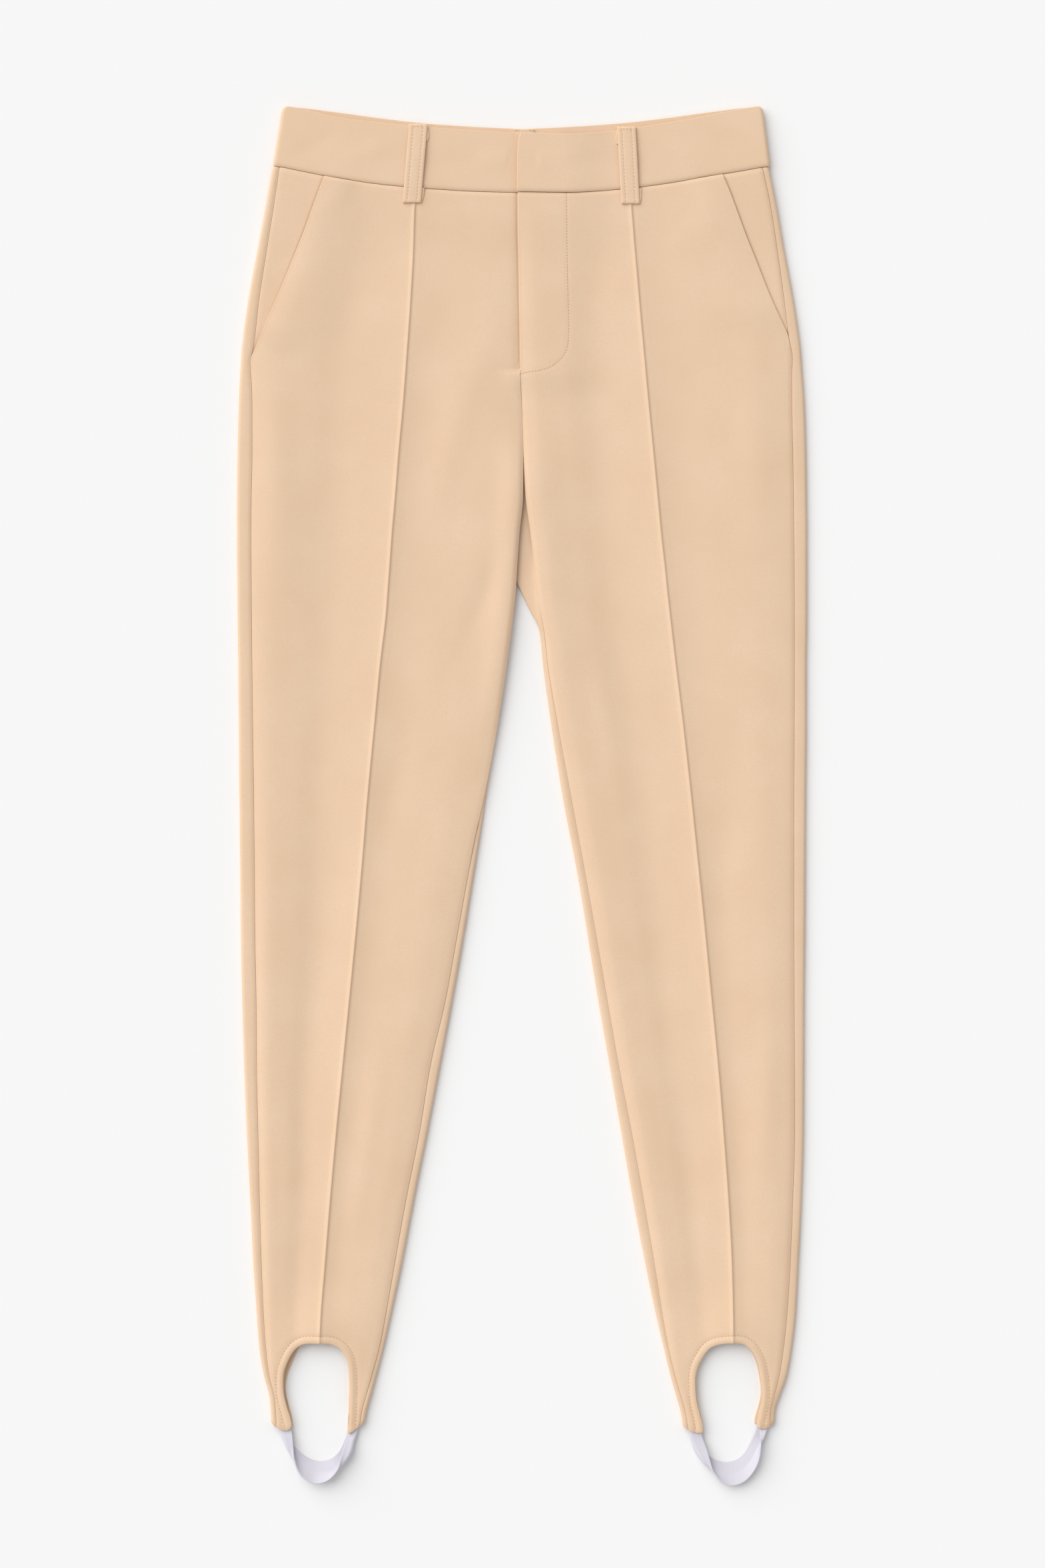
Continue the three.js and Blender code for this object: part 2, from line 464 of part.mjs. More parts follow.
function waistband(side) {
  const isLeft = side.sign > 0;
  const outer = [];
  const inner = [];
  const radius = (FRONT_WAIST - BACK_WAIST) / 2;
  for (const row of BAND_ROWS) {
    const foldOut = row[side.bandSide] - radius - BAND / 2;
    const frontEnd = isLeft ? row.lapEnd : -FLY_SHIELD;
    const front = [frontEnd, ...(isLeft ? LEFT_BAND_STOPS : RIGHT_BAND_STOPS)].map((out) => {
      const raised = isLeft ? BAND_LAP * (1 - ease(FLY_WIDTH, FLY_WIDTH + FLY_EASE, out)) : 0;
      return { out, z: FRONT_WAIST + raised, nOut: 0, nZ: 1, top: 'front', seam: 'seam' };
    });
    const fold = HALF_TURN.map((turn) => ({
      out: foldOut + Math.sin(turn) * radius,
      z: BACK_WAIST + radius * (1 + Math.cos(turn)),
      nOut: Math.sin(turn),
      nZ: Math.cos(turn),
      top: 'front',
      seam: 'seam',
    }));
    const back = BACK_BAND_STOPS.map((out) => (
      { out, z: BACK_WAIST, nOut: 0, nZ: -1, top: 'back', seam: 'backSeam' }));
    const lay = (p, shift) => {
      const drop = !isLeft && p.out < 0 ? UNDERLAP_DROP : 0;
      const top = read(side.waist, 'out', p.top, Math.abs(p.out)) + drop;
      const seam = read(side.waist, 'out', p.seam, Math.abs(p.out));
      return point(side, p.out + p.nOut * shift, mix(top, seam, row.share), p.z + p.nZ * shift);
    };
    const path = [...front, ...fold, ...back];
    outer.push(path.map((p) => lay(p, BAND / 2)));
    inner.push(path.map((p) => lay(p, -BAND / 2)));
  }
  return wall(outer, inner);
}

// ---- Straight strips: belt loops and the tag ----
// stations: [out, down, z of the middle] along the strip.
function strip(side, stations, width, thickness) {
  const lay = (shift) => stations.map(([out, down, z]) =>
    [-width / 2, width / 2].map((across) => point(side, out + across, down, z + shift)));
  return wall(lay(thickness / 2), lay(-thickness / 2));
}

// A front loop bows away from the band between its two bar tacks. share: place along it, from its top.
const LOOP_BOW = table(['share', 'rise'], [[0, 0], [0.1, 0], [0.45, 0.6], [0.8, 0.2], [0.92, -0.3], [1, -0.4]]);

function frontLoop(side) {
  const onBand = FRONT_WAIST + BAND / 2 + SEAM + LOOP / 2;
  const top = read(side.waist, 'out', 'front', side.loopTop) - LOOP_STAND;
  const foot = read(side.waist, 'out', 'seam', side.loopFoot) + FRONT_LOOP_HANG;
  const stations = LOOP_BOW.map(({ share, rise }) => (
    [mix(side.loopTop, side.loopFoot, share), mix(top, foot, share), onBand + rise]));
  return strip(side, stations, LOOP_WIDTH, LOOP);
}

function backLoop(side, out) {
  const middle = (BACK_WAIST - BAND / 2 - SEAM) / 2;
  const top = read(side.waist, 'out', 'back', out);
  const foot = read(side.waist, 'out', 'backSeam', out) + LOOP_HANG;
  const stations = [0, 0.5, 1].map((share) => [out, mix(top, foot, share), middle]);
  return strip(side, stations, LOOP_WIDTH, 2 * middle);
}

function waistTag() {
  const side = SIDES.left;
  const middle = BACK_WAIST + BAND / 2 + SEAM + TAG / 2;
  const top = side.waist[0].back;
  return strip(side, [[TAG_OUT, top, middle], [TAG_OUT, top + TAG_DEPTH, middle]], TAG_WIDTH, TAG);
}

// ---- Stirrup elastic ----
const OPEN_COSINE = -0.6;    // of the angle between the elastic's halves: from here on it counts as open
const FOLDED_COSINE = 0.8;   // and from here on as folded flat
const FOLD_SHARE = 0.1;      // the points beside the middle line, as a share of a half's width

function stirrup(side) {
  const outer = [];
  const inner = [];
  side.stirrup.forEach((row, i) => {
    const b = point(side, row.bOut, row.bDown, row.bZ);
    const m = point(side, row.mOut, row.mDown, row.mZ);
    const f = point(side, row.fOut, row.fDown, row.fZ);
    // Where the elastic is folded, the points beside the middle line keep its two halves apart.
    const cosine = b.clone().sub(m).normalize().dot(f.clone().sub(m).normalize());
    const folded = ease(OPEN_COSINE, FOLDED_COSINE, cosine);
    const beside = (edge) => (
      m.clone().lerp(edge, FOLD_SHARE).setZ(mix(m.z, edge.z, mix(FOLD_SHARE, 1 - FOLD_SHARE, folded))));
    const besideB = beside(b);
    const besideF = beside(f);
    const line = [b, b.clone().lerp(besideB, 0.5), besideB, m, besideF, besideF.clone().lerp(f, 0.5), f];
    const from = side.stirrup[Math.max(0, i - 1)];
    const to = side.stirrup[Math.min(side.stirrup.length - 1, i + 1)];
    const along = point(side, to.mOut, to.mDown, to.mZ).sub(point(side, from.mOut, from.mDown, from.mZ));
    const normals = line.map((p, j) => {
      const across = line[Math.min(line.length - 1, j + 1)].clone().sub(line[Math.max(0, j - 1)]);
      return across.cross(along).normalize();
    });
    outer.push(line.map((p, j) => p.clone().addScaledVector(normals[j], ELASTIC / 2)));
    inner.push(line.map((p, j) => p.clone().addScaledVector(normals[j], -ELASTIC / 2)));
  });
  return wall(outer, inner);
}

// ---- The garment ----
const suiting = () => new THREE.MeshStandardMaterial({ color: 0xe8caad, roughness: 0.85, metalness: 0 });
const elastic = () => new THREE.MeshStandardMaterial({ color: 0xe1dfe6, roughness: 0.7, metalness: 0 });

const trousers = new THREE.Group();

function add(name, geometry, material) {
  const mesh = new THREE.Mesh(geometry, material);
  mesh.name = name;
  trousers.add(mesh);
}

for (const [name, side] of Object.entries(SIDES)) {
  add(`${name}_front`, frontPanel(side), suiting());
  add(`${name}_back`, backPanel(side), suiting());
  add(`${name}_pocket_piece`, pocketPiece(side), suiting());
  add(`${name}_waistband`, waistband(side), suiting());
  add(`${name}_front_loop`, frontLoop(side), suiting());
  add(`${name}_back_loop`, backLoop(side, BACK_LOOP_OUT), suiting());
  add(`${name}_stirrup`, stirrup(side), elastic());
}
add('centre_back_loop', backLoop(SIDES.left, 0), suiting());
add('fly_shield', flyShield(), suiting());
add('waist_tag', waistTag(), suiting());

// The origin is the middle of the box's underside.
const box = new THREE.Box3().setFromObject(trousers);
trousers.position.set(-(box.min.x + box.max.x) / 2, -(box.min.y + box.max.y) / 2, -box.min.z);

export default trousers;
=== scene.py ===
import math

import bpy
import numpy as np
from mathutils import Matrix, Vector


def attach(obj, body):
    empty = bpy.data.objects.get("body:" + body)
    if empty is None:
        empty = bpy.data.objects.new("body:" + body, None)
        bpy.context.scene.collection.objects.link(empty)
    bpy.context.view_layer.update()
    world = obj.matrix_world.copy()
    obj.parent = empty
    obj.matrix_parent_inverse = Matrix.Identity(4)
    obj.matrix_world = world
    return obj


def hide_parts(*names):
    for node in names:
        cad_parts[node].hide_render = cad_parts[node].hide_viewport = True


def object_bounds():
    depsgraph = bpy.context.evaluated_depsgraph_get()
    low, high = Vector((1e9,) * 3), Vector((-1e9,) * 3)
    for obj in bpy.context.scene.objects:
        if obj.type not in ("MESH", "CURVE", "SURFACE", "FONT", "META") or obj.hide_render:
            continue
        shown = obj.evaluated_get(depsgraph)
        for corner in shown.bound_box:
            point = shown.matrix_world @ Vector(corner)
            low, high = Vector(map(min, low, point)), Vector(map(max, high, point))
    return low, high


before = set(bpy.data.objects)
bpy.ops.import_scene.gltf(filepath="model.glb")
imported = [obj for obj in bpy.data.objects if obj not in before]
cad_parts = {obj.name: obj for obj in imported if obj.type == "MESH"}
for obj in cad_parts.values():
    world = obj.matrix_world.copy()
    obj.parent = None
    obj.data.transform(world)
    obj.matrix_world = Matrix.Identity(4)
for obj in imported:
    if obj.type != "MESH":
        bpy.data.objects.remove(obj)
cad_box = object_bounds()

# ---- Paper, light and camera ----
# The trousers lie on seamless white paper in a bright room, under one broad soft light from the upper left.
# The camera hangs straight above and sees 806 by 1209 mm of the cloth's plane.
MM = 0.001
VIEW_HEIGHT = 1209 * MM
VIEW_MIDDLE = (0.5 * MM, 8.7 * MM)
CLOTH_PLANE = 5 * MM
LENS = 100
SENSOR = 36
PAPER_SIDE = 8
LIGHT_TURN = (math.radians(52), 0, math.radians(228))
LIGHT_BREADTH = math.radians(70)
LIGHT_STRENGTH = 2.55
ROOM_STRENGTH = 0.55


def linear(colour):
    """An sRGB hex colour as linear red, green and blue, with full alpha."""
    shares = [int(colour[i:i + 2], 16) / 255 for i in (1, 3, 5)]
    return (*[s / 12.92 if s <= 0.04045 else ((s + 0.055) / 1.055) ** 2.4 for s in shares], 1)


def add_node(material, kind, values=None, links=None, **settings):
    """Adds a node with its settings, its sockets' values, and links as {socket: (node, output)}."""
    node = material.node_tree.nodes.new("ShaderNode" + kind)
    for name, value in settings.items():
        setattr(node, name, value)
    for socket, value in (values or {}).items():
        node.inputs[socket].default_value = value
    for socket, (source, output) in (links or {}).items():
        material.node_tree.links.new(source.outputs[output], node.inputs[socket])
    return node


def new_material(name):
    """A material with one node, which gives the place on a piece in metres."""
    material = bpy.data.materials.new(name)
    material.use_nodes = True
    material.node_tree.nodes.clear()
    return material, add_node(material, "TexCoord")


def noise(material, at, scale, detail, **values):
    """An even scatter over a piece."""
    return add_node(material, "TexNoise", {"Scale": scale, "Detail": detail, **values}, {"Vector": (at, "Object")}), 0


def finish_material(material, look, relief, strength, depth, colour=None):
    """Ends a material with its relief, depth mm deep, and its shader, whose colour may come from an output."""
    bump = add_node(material, "Bump", {"Strength": strength, "Distance": depth * MM}, {"Height": relief})
    links = {"Normal": (bump, "Normal")} | ({"Base Color": colour} if colour else {})
    shader = add_node(material, "BsdfPrincipled", look, links)
    add_node(material, "OutputMaterial", links={"Surface": (shader, "BSDF")})
    return material


def paper():
    """Uncoated white paper: an even, quite matt white with the faintest tooth."""
    material, at = new_material("uncoated_white_paper")
    look = {"Base Color": linear("#f3f3f2"), "Roughness": 0.95, "Specular IOR Level": 0.1}
    return finish_material(material, look, noise(material, at, 900, 2), strength=0.05, depth=0.05)


def new_object(name, points, faces, material, smooth=True):
    mesh = bpy.data.meshes.new(name)
    mesh.from_pydata([tuple(p) for p in points], [], [tuple(int(i) for i in f) for f in faces])
    mesh.materials.append(material)
    mesh.polygons.foreach_set("use_smooth", [smooth] * len(mesh.polygons))
    piece = bpy.data.objects.new(name, mesh)
    bpy.context.scene.collection.objects.link(piece)
    return piece


half = PAPER_SIDE / 2
sheet_of_paper = new_object(
    "paper", [(-half, -half, 0), (half, -half, 0), (half, half, 0), (-half, half, 0)], [(0, 1, 2, 3)], paper(), False)

light = bpy.data.lights.new("window_light", "SUN")
light.energy = LIGHT_STRENGTH
light.angle = LIGHT_BREADTH
lamp = bpy.data.objects.new("window_light", light)
lamp.rotation_euler = LIGHT_TURN
bpy.context.scene.collection.objects.link(lamp)

room = bpy.data.worlds.new("bright_room")
room.use_nodes = True
room.node_tree.nodes["Background"].inputs["Color"].default_value = linear("#fdfdff")
room.node_tree.nodes["Background"].inputs["Strength"].default_value = ROOM_STRENGTH
bpy.context.scene.world = room
bpy.context.scene.view_settings.view_transform = "Standard"

camera = bpy.data.objects.new("overhead_camera", bpy.data.cameras.new("overhead_camera"))
camera.data.lens = LENS
camera.data.sensor_width = SENSOR
camera.location = (*VIEW_MIDDLE, CLOTH_PLANE + VIEW_HEIGHT * LENS / SENSOR)
bpy.context.scene.collection.objects.link(camera)
bpy.context.scene.camera = camera

# ---- Back panels ----
# Each is one piece of heavy bi-stretch suiting, pressed flat. It lies on the paper, folds round both edges of
# the leg and is sewn to the front at the side seam and the inseam, and to its twin at the centre back.
CLOTH = 1.4
SEAM = 0.3
# Rows are mm below the waist's side corners: where the panels start, where they lie flat and where they run
# straight. Heights are of the middle of the cloth, where it lies and at the waist; the fronts rise at the hem.
BAND_TOP = 46
LIE_FROM = 120
STRAIGHT_FROM = 140
BACK_LIE = 0.7
BACK_WAIST = 2.8
FRONT_LIE = 4.7
FRONT_WAIST = 6.5
HEM_LIFT = 0.7
HEM_FROM = 957
HEM_FULL = 1007
ARCH_ROW = 925
TOP = cad_box[1].y / MM
MIDDLE = cad_box[1].x / MM - 219.5


def table(columns, rows):
    """Rows of numbers as one array for each named column."""
    return dict(zip(columns.split(), np.array(rows, float).T))


# A leg's sections, in mm. down: below the waist's side corners. The others are distances out from the centre
# line: outer silhouette, side seam, foot of the pintuck, the front's inner edge, the back's inner fold, and the
# end of the back's turned part. The two shares are the height of the turned part between back and front.
LEG = "down outer side tuck edge fold lap fold_share lap_share"
RIGHT_LEG = table(LEG, [
    (46, 192.8, 187.5, 82, -3, 0.15, 6, 0.42, 0.42), (75, 198, 191.7, 83, -3, 0.15, 6, 0.42, 0.42),
    (110, 204.5, 197.3, 83.8, -3, 0.15, 6, 0.42, 0.42), (150, 211.8, 203.5, 85.8, -3, 0.15, 6, 0.42, 0.42),
    (178, 215.7, 206.7, 87.7, -3, 0.15, 6, 0.42, 0.42), (190, 217, 208.7, 88.6, -3, 0.15, 6, 0.42, 0.42),
    (197, 217.4, 210.3, 89.1, -3, 0.15, 6, 0.42, 0.42), (204, 217.8, 209.8, 89.6, 1.8, 0.15, 6, 0.42, 0.42),
    (230, 219, 208.7, 91.6, 0.6, 0.15, 6, 0.42, 0.42), (269, 220, 208.7, 95.2, -0.55, 4, 10, 0.42, 0.42),
    (300, 220.4, 209.3, 97.6, -0.4, 12.6, 18.6, 0.42, 0.42), (330, 220.5, 209.6, 100.2, 2.4, 12.6, 18.6, 0.42, 0.42),
    (358, 220.3, 209.4, 102.2, 4.3, 12.6, 18.6, 0.42, 0.42), (372, 220.1, 209.3, 103.3, 5.1, 9.8, 16, 0.5, 0.5),
    (388, 220, 209.2, 104.4, 6.7, 8.2, 14.5, 0.57, 0.57), (430, 219.5, 208.8, 109.2, 12.1, 12.6, 18.6, 0.57, 0.57),
    (480, 219, 208.2, 114, 19.7, 20.2, 26.4, 0.57, 0.57), (505, 218.8, 207.8, 116.4, 24.1, 23.9, 30.1, 0.57, 0.57),
    (520, 218.7, 207.6, 117.8, 27, 26.3, 32.5, 0.58, 0.58), (535, 218.5, 207.4, 119.2, 30, 28.6, 33.6, 0.64, 0.66),
    (548, 218.4, 207.3, 120.3, 33, 30.6, 33.2, 0.76, 0.88), (561, 218.3, 207.2, 121.3, 36, 32.6, 35.7, 0.84, 1),
    (592, 217.8, 206.9, 123.9, 42, 37.6, 41.7, 0.84, 1), (640, 217.4, 206.5, 128.3, 50.6, 45.4, 50.3, 0.84, 1),
    (690, 216.4, 205.6, 133.2, 59.7, 54.2, 59.4, 0.84, 1), (740, 214.9, 205.3, 138.2, 71.2, 63.6, 70.9, 0.84, 1),
    (790, 212.9, 204.2, 143.1, 79.4, 73.1, 79.1, 0.84, 1), (845, 210.1, 203, 148, 90.3, 84.1, 90, 0.84, 1),
    (895, 207.7, 201.5, 152, 99.2, 93.5, 98.9, 0.84, 1), (930, 205.3, 200, 154.8, 105.3, 101, 105, 0.84, 1),
    (957, 203.3, 198.2, 156, 110.6, 107, 110.3, 0.84, 1), (980, 199.4, 195.4, 157, 116.8, 113, 116.5, 0.84, 1),
    (994, 195.6, 191.8, 157.6, 120.6, 116.8, 120.3, 1, 1), (1007, 194.3, 190.5, 158, 124.1, 120.3, 123.8, 1, 1),
    (1026, 193.5, 189.7, 158.4, 126.8, 123, 126.5, 1, 1),
])
LEFT_LEG = table(LEG, [
    (46, 190, 185.3, 83.3, -3.6, 0.15, 6, 0.42, 0.42), (75, 195.8, 191.2, 85.3, -3.5, 0.15, 6, 0.42, 0.42),
    (110, 202, 196.6, 87.4, -3, 0.15, 6, 0.42, 0.42), (150, 209.3, 202.1, 90.5, -2.4, 0.15, 6, 0.42, 0.42),
    (176, 213.2, 205.2, 92.8, -2, 0.15, 6, 0.42, 0.42), (183, 214.1, 206.4, 93.5, -1.9, 0.15, 6, 0.42, 0.42),
    (190, 214.8, 208, 94.1, -1.8, 0.15, 6, 0.42, 0.42), (197, 215.3, 208.4, 94.8, -1.6, 0.15, 6, 0.42, 0.42),
    (204, 215.8, 207.9, 95.4, -1.5, 0.15, 6, 0.42, 0.42), (230, 217.6, 207.9, 97.8, -0.3, 0.15, 6, 0.42, 0.42),
    (269, 218.8, 208.8, 101.6, 0.85, -3.7, 4, 0.42, 0.42), (300, 219.2, 209.2, 104.6, 2.4, -12.3, 5.4, 0.36, 0.36),
    (330, 219.5, 209.5, 107.4, 6.3, -12.3, 9.5, 0.36, 0.36), (358, 219.5, 209.8, 110.5, 9.6, -9.1, 10.4, 0.38, 0.4),
    (372, 219.5, 209.9, 111.9, 11, -2.4, 11.8, 0.42, 0.55), (388, 219.5, 210, 113.7, 13.2, 5.2, 13.1, 0.55, 0.9),
    (404, 219.4, 210, 115.5, 16.6, 13, 16.3, 1, 1), (430, 219, 210, 118.6, 19.5, 15.7, 19.2, 1, 1),
    (480, 219, 209.8, 124.7, 27.8, 22.6, 27.5, 1, 1), (535, 218.5, 209.5, 130.8, 38, 31.4, 37.7, 1, 1),
    (592, 218.2, 209.5, 136.7, 48.5, 42.3, 48.2, 1, 1), (640, 217.9, 209.5, 141.6, 57, 50.3, 56.7, 1, 1),
    (690, 217.4, 209.7, 146.4, 65.6, 58.4, 65.3, 1, 1), (740, 217.2, 210.1, 151.3, 74.3, 67.2, 74, 1, 1),
    (790, 216.9, 210.2, 155.4, 84, 75.9, 83.7, 1, 1), (845, 215.3, 208.6, 159.4, 93.8, 85.5, 93.5, 1, 1),
    (895, 212.8, 206.6, 162, 102.2, 95.2, 101.9, 1, 1), (930, 211, 204.4, 162.8, 107.8, 102.5, 107.5, 1, 1),
    (957, 208, 201.6, 163, 112.6, 108.8, 112.3, 1, 1), (980, 203.8, 198, 163, 118.2, 114.4, 117.9, 1, 1),
    (994, 198.9, 194.4, 163, 122.2, 118.4, 121.9, 1, 1), (1007, 194.9, 191.1, 163, 125.8, 122, 125.5, 1, 1),
    (1026, 194.6, 190.8, 163, 128.6, 124.8, 128.3, 1, 1),
])
# The waist from the centre line out: the bands' top edges, front and back, and the seams below them.
WAIST = "out front back seam back_seam"
RIGHT_WAIST = table(WAIST, [
    (0, 21.1, 17.5, 66.9, 63.5), (35, 19, 15.8, 66, 62), (72, 16.4, 13.3, 63.8, 59.4), (105, 13.3, 9.7, 60.9, 56),
    (140, 9, 5, 56.1, 51.3), (170, 2.4, 1.2, 50.4, 48.4), (186, 0, 0, 47.2, 47.2), (194, 0, 0, 46.2, 46.2),
])
LEFT_WAIST = table(WAIST, [
    (0, 20.7, 17.5, 66.4, 63.5), (35, 21.8, 15.8, 66.8, 62), (72, 18.9, 13.3, 64.6, 59.4), (105, 14, 9.7, 60.7, 56),
    (140, 8, 5, 55, 51.3), (170, 2.2, 1.2, 50, 48.4), (186, 0, 0, 47.2, 47.2), (194, 0, 0, 46.2, 46.2),
])
# The hem from the inner tongue's corner round the arch to the outer tongue's. back: how far the back's edge
# stands into the arch.
HEM = "out down back"
RIGHT_HEM = table(HEM, [
    (115, 1006, 0), (121.8, 1014, 0), (127.2, 1019.2, 0), (133.3, 1023.9, 0), (134.9, 1021, 0), (134.3, 1008, 0),
    (133.7, 988, 0), (134.7, 970, 0), (138, 961.3, 0), (142.5, 956.9, 0), (149, 954.3, 0), (158, 954, 0),
    (166.7, 954.1, 0), (173, 956.6, 1.5), (177.8, 962, 3.2), (181.7, 969.9, 3.6), (183.7, 977.6, 2.6),
    (184.2, 985.7, 1.4), (183.7, 993.6, 1.2), (182.1, 1001.3, 1.3), (179.7, 1009.3, 1.2), (177.8, 1017.4, 0.5),
    (179.2, 1020.2, 0), (182.5, 1021.3, 0), (189, 1019.3, 0), (192.2, 1016.8, 0), (193.9, 1013, 0), (198, 1004, 0),
])
LEFT_HEM = table(HEM, [
    (117, 1006, 0), (124.4, 1018, 0), (128.5, 1021, 0), (133.4, 1022.9, 0), (139.5, 1023.4, 0), (138.3, 1013.1, 0),
    (135.2, 999.7, 0), (134.1, 987.7, 0), (134.3, 976.6, -0.5), (137.1, 968.4, -0.8), (143.1, 959.1, 0),
    (149.1, 955.5, 0), (156, 954, 0), (163.1, 953.7, 0), (169.8, 954.3, 0.5), (175.8, 958.6, 0.8),
    (180.7, 967.1, 0.9), (183.2, 978, 0.8), (184.4, 990, 0.5), (183.8, 999.7, 1), (181.3, 1012, 2),
    (180.7, 1016.7, 1.2), (183.8, 1020.3, 0), (189, 1018.9, 0), (192.8, 1016.2, 0), (194.7, 1011, 0), (199, 1002, 0),
])
# sign: which way out runs. inner_tip, outer_tip: the hem's rows at the two tongues' tips. roll: how high the
# outer fold turns before the cloth slopes up to the side seam. The sinks: how far each side of that seam is
# pulled down, by how its allowances are pressed.
RIGHT = {"name": "right", "sign": -1, "leg": RIGHT_LEG, "waist": RIGHT_WAIST, "hem": RIGHT_HEM,
         "inner_tip": 3, "outer_tip": 21, "roll": 1, "front_sink": 0.7, "back_sink": 1.4}
LEFT = {"name": "left", "sign": 1, "leg": LEFT_LEG, "waist": LEFT_WAIST, "hem": LEFT_HEM,
        "inner_tip": 4, "outer_tip": 21, "roll": 0.84, "front_sink": 1.5, "back_sink": 0.5}
SIDES = (RIGHT, LEFT)


def curve(x, y, at):
    """Values between the points of a curve that is smooth and never overshoots them."""
    at = np.clip(at, x[0], x[-1])
    step = np.diff(x)
    rise = np.diff(y) / step
    slope = np.zeros(len(x))
    slope[0], slope[-1] = rise[0], rise[-1]
    before, after = rise[:-1], rise[1:]
    even = before * after > 0
    weight = 2 * step[1:] + step[:-1], step[1:] + 2 * step[:-1]
    safe = np.where(even, before, 1), np.where(even, after, 1)
    slope[1:-1] = np.where(even, (weight[0] + weight[1]) / (weight[0] / safe[0] + weight[1] / safe[1]), 0)
    i = np.clip(np.searchsorted(x, at, side="right") - 1, 0, len(x) - 2)
    t = (at - x[i]) / step[i]
    return (y[i] * (1 + 2 * t) * (1 - t) ** 2 + y[i + 1] * t * t * (3 - 2 * t)
            + step[i] * (slope[i] * t * (1 - t) ** 2 + slope[i + 1] * t * t * (t - 1)))


def read(rows, name, at, by="down"):
    return curve(rows[by], rows[name], np.asarray(at, float))


def at_row(side, name, row):
    """What a leg's table says at a row."""
    return read(side["leg"], name, row)


def at_waist(side, name, out):
    return read(side["waist"], name, np.abs(out), "out")


def ease(start, stop, at):
    share = np.clip((np.asarray(at, float) - start) / (stop - start), 0, 1)
    return share * share * (3 - 2 * share)


def bump_at(middle, width, at):
    """A soft hump, 1 at its middle."""
    return np.exp(-((np.asarray(at, float) - middle) / width) ** 2)


def place(side, out, down, height):
    """Points in metres from sizes on the garment in mm."""
    out, down, height = np.broadcast_arrays(*(np.asarray(v, float) for v in (out, down, height)))
    return np.stack([side["sign"] * out + MIDDLE, TOP - down, height], -1) * MM


def back_height(row):
    return BACK_LIE + (BACK_WAIST - BACK_LIE) * (1 - ease(BAND_TOP, LIE_FROM, row))


def front_height(row):
    waist = 1 - ease(BAND_TOP, LIE_FROM, row)
    return FRONT_LIE + (FRONT_WAIST - FRONT_LIE) * waist + HEM_LIFT * ease(HEM_FROM, HEM_FULL, row)


def row_down(side, row, out, seam):
    """The rows start at the curved waist seam and straighten out below it."""
    start = at_waist(side, seam, out) + SEAM - BAND_TOP
    return row + start * (1 - ease(BAND_TOP, STRAIGHT_FROM, row))


def creased(creases, out, down):
    """The height of soft creases. Each has its middle, its turn from straight down, length, width and height."""
    height = np.zeros(np.broadcast(out, down).shape)
    for middle_out, middle_down, turn, length, width, rise in creases:
        across, along = math.cos(math.radians(turn)), math.sin(math.radians(turn))
        x = (out - middle_out) * across - (down - middle_down) * along
        y = (out - middle_out) * along + (down - middle_down) * across
        end = np.clip(1 - (2 * y / length) ** 2, 0, 1)
        height = height + rise * end * end * np.exp(-(x / width) ** 2)
    return height


def smooth_line(points, count):
    """A smooth curve through the points, at count places."""
    points = np.asarray(points, float)
    padded = np.vstack([2 * points[0] - points[1], points, 2 * points[-1] - points[-2]])
    at = np.linspace(0, len(points) - 1, count)
    i = np.minimum(at.astype(int), len(points) - 2)
    t = (at - i)[:, None]
    a, b, c, d = (padded[i + k] for k in range(4))
    return 0.5 * (2 * b + (c - a) * t + (2 * a - 5 * b + 4 * c - d) * t ** 2 + (3 * b - a - 3 * c + d) * t ** 3)


def unit(vectors):
    return vectors / np.maximum(np.linalg.norm(vectors, axis=-1, keepdims=True), 1e-12)


def along_line(points):
    """How far along a line each of its points is."""
    return np.concatenate([[0], np.cumsum(np.linalg.norm(np.diff(points, axis=0), axis=1))])


def arch_of(side, for_back):
    """The hem's arch as a fine line of out and down, from the inner tongue's tip to the outer one's."""
    hem = side["hem"]
    out = hem["out"] - (hem["back"] if for_back else 0)
    tips = slice(side["inner_tip"], side["outer_tip"] + 1)
    return smooth_line(np.stack([out, hem["down"]], 1)[tips], ARCH_POINTS)


def tongue_end(side, out):
    """How far down the hem's tongues reach."""
    hem, inner, outer = side["hem"], side["inner_tip"] + 1, side["outer_tip"]
    return np.where(
        np.asarray(out) < ARCH_MIDDLE[0],
        curve(hem["out"][:inner], hem["down"][:inner], out), curve(hem["out"][outer:], hem["down"][outer:], out))


def quads_of(ids):
    """The quads of a grid of point numbers."""
    return np.stack([c.ravel() for c in (ids[:-1, :-1], ids[:-1, 1:], ids[1:, 1:], ids[1:, :-1])], 1)


ARCH_MIDDLE = (159, 985)
ARCH_TOP = 955
ARCH_REACH = 60
ARCH_POINTS = 400
TONGUE_ROW = 1015.0
TONGUE_EASE = 16
EDGE_STEPS = 24
ARCH_STEPS = np.array([0, 1, 2, 3.2, 4.4, 5.4, 6.2, 7, 8.2, 10, 13])
SHORT_LINE = 20
OPEN_STEPS = 6


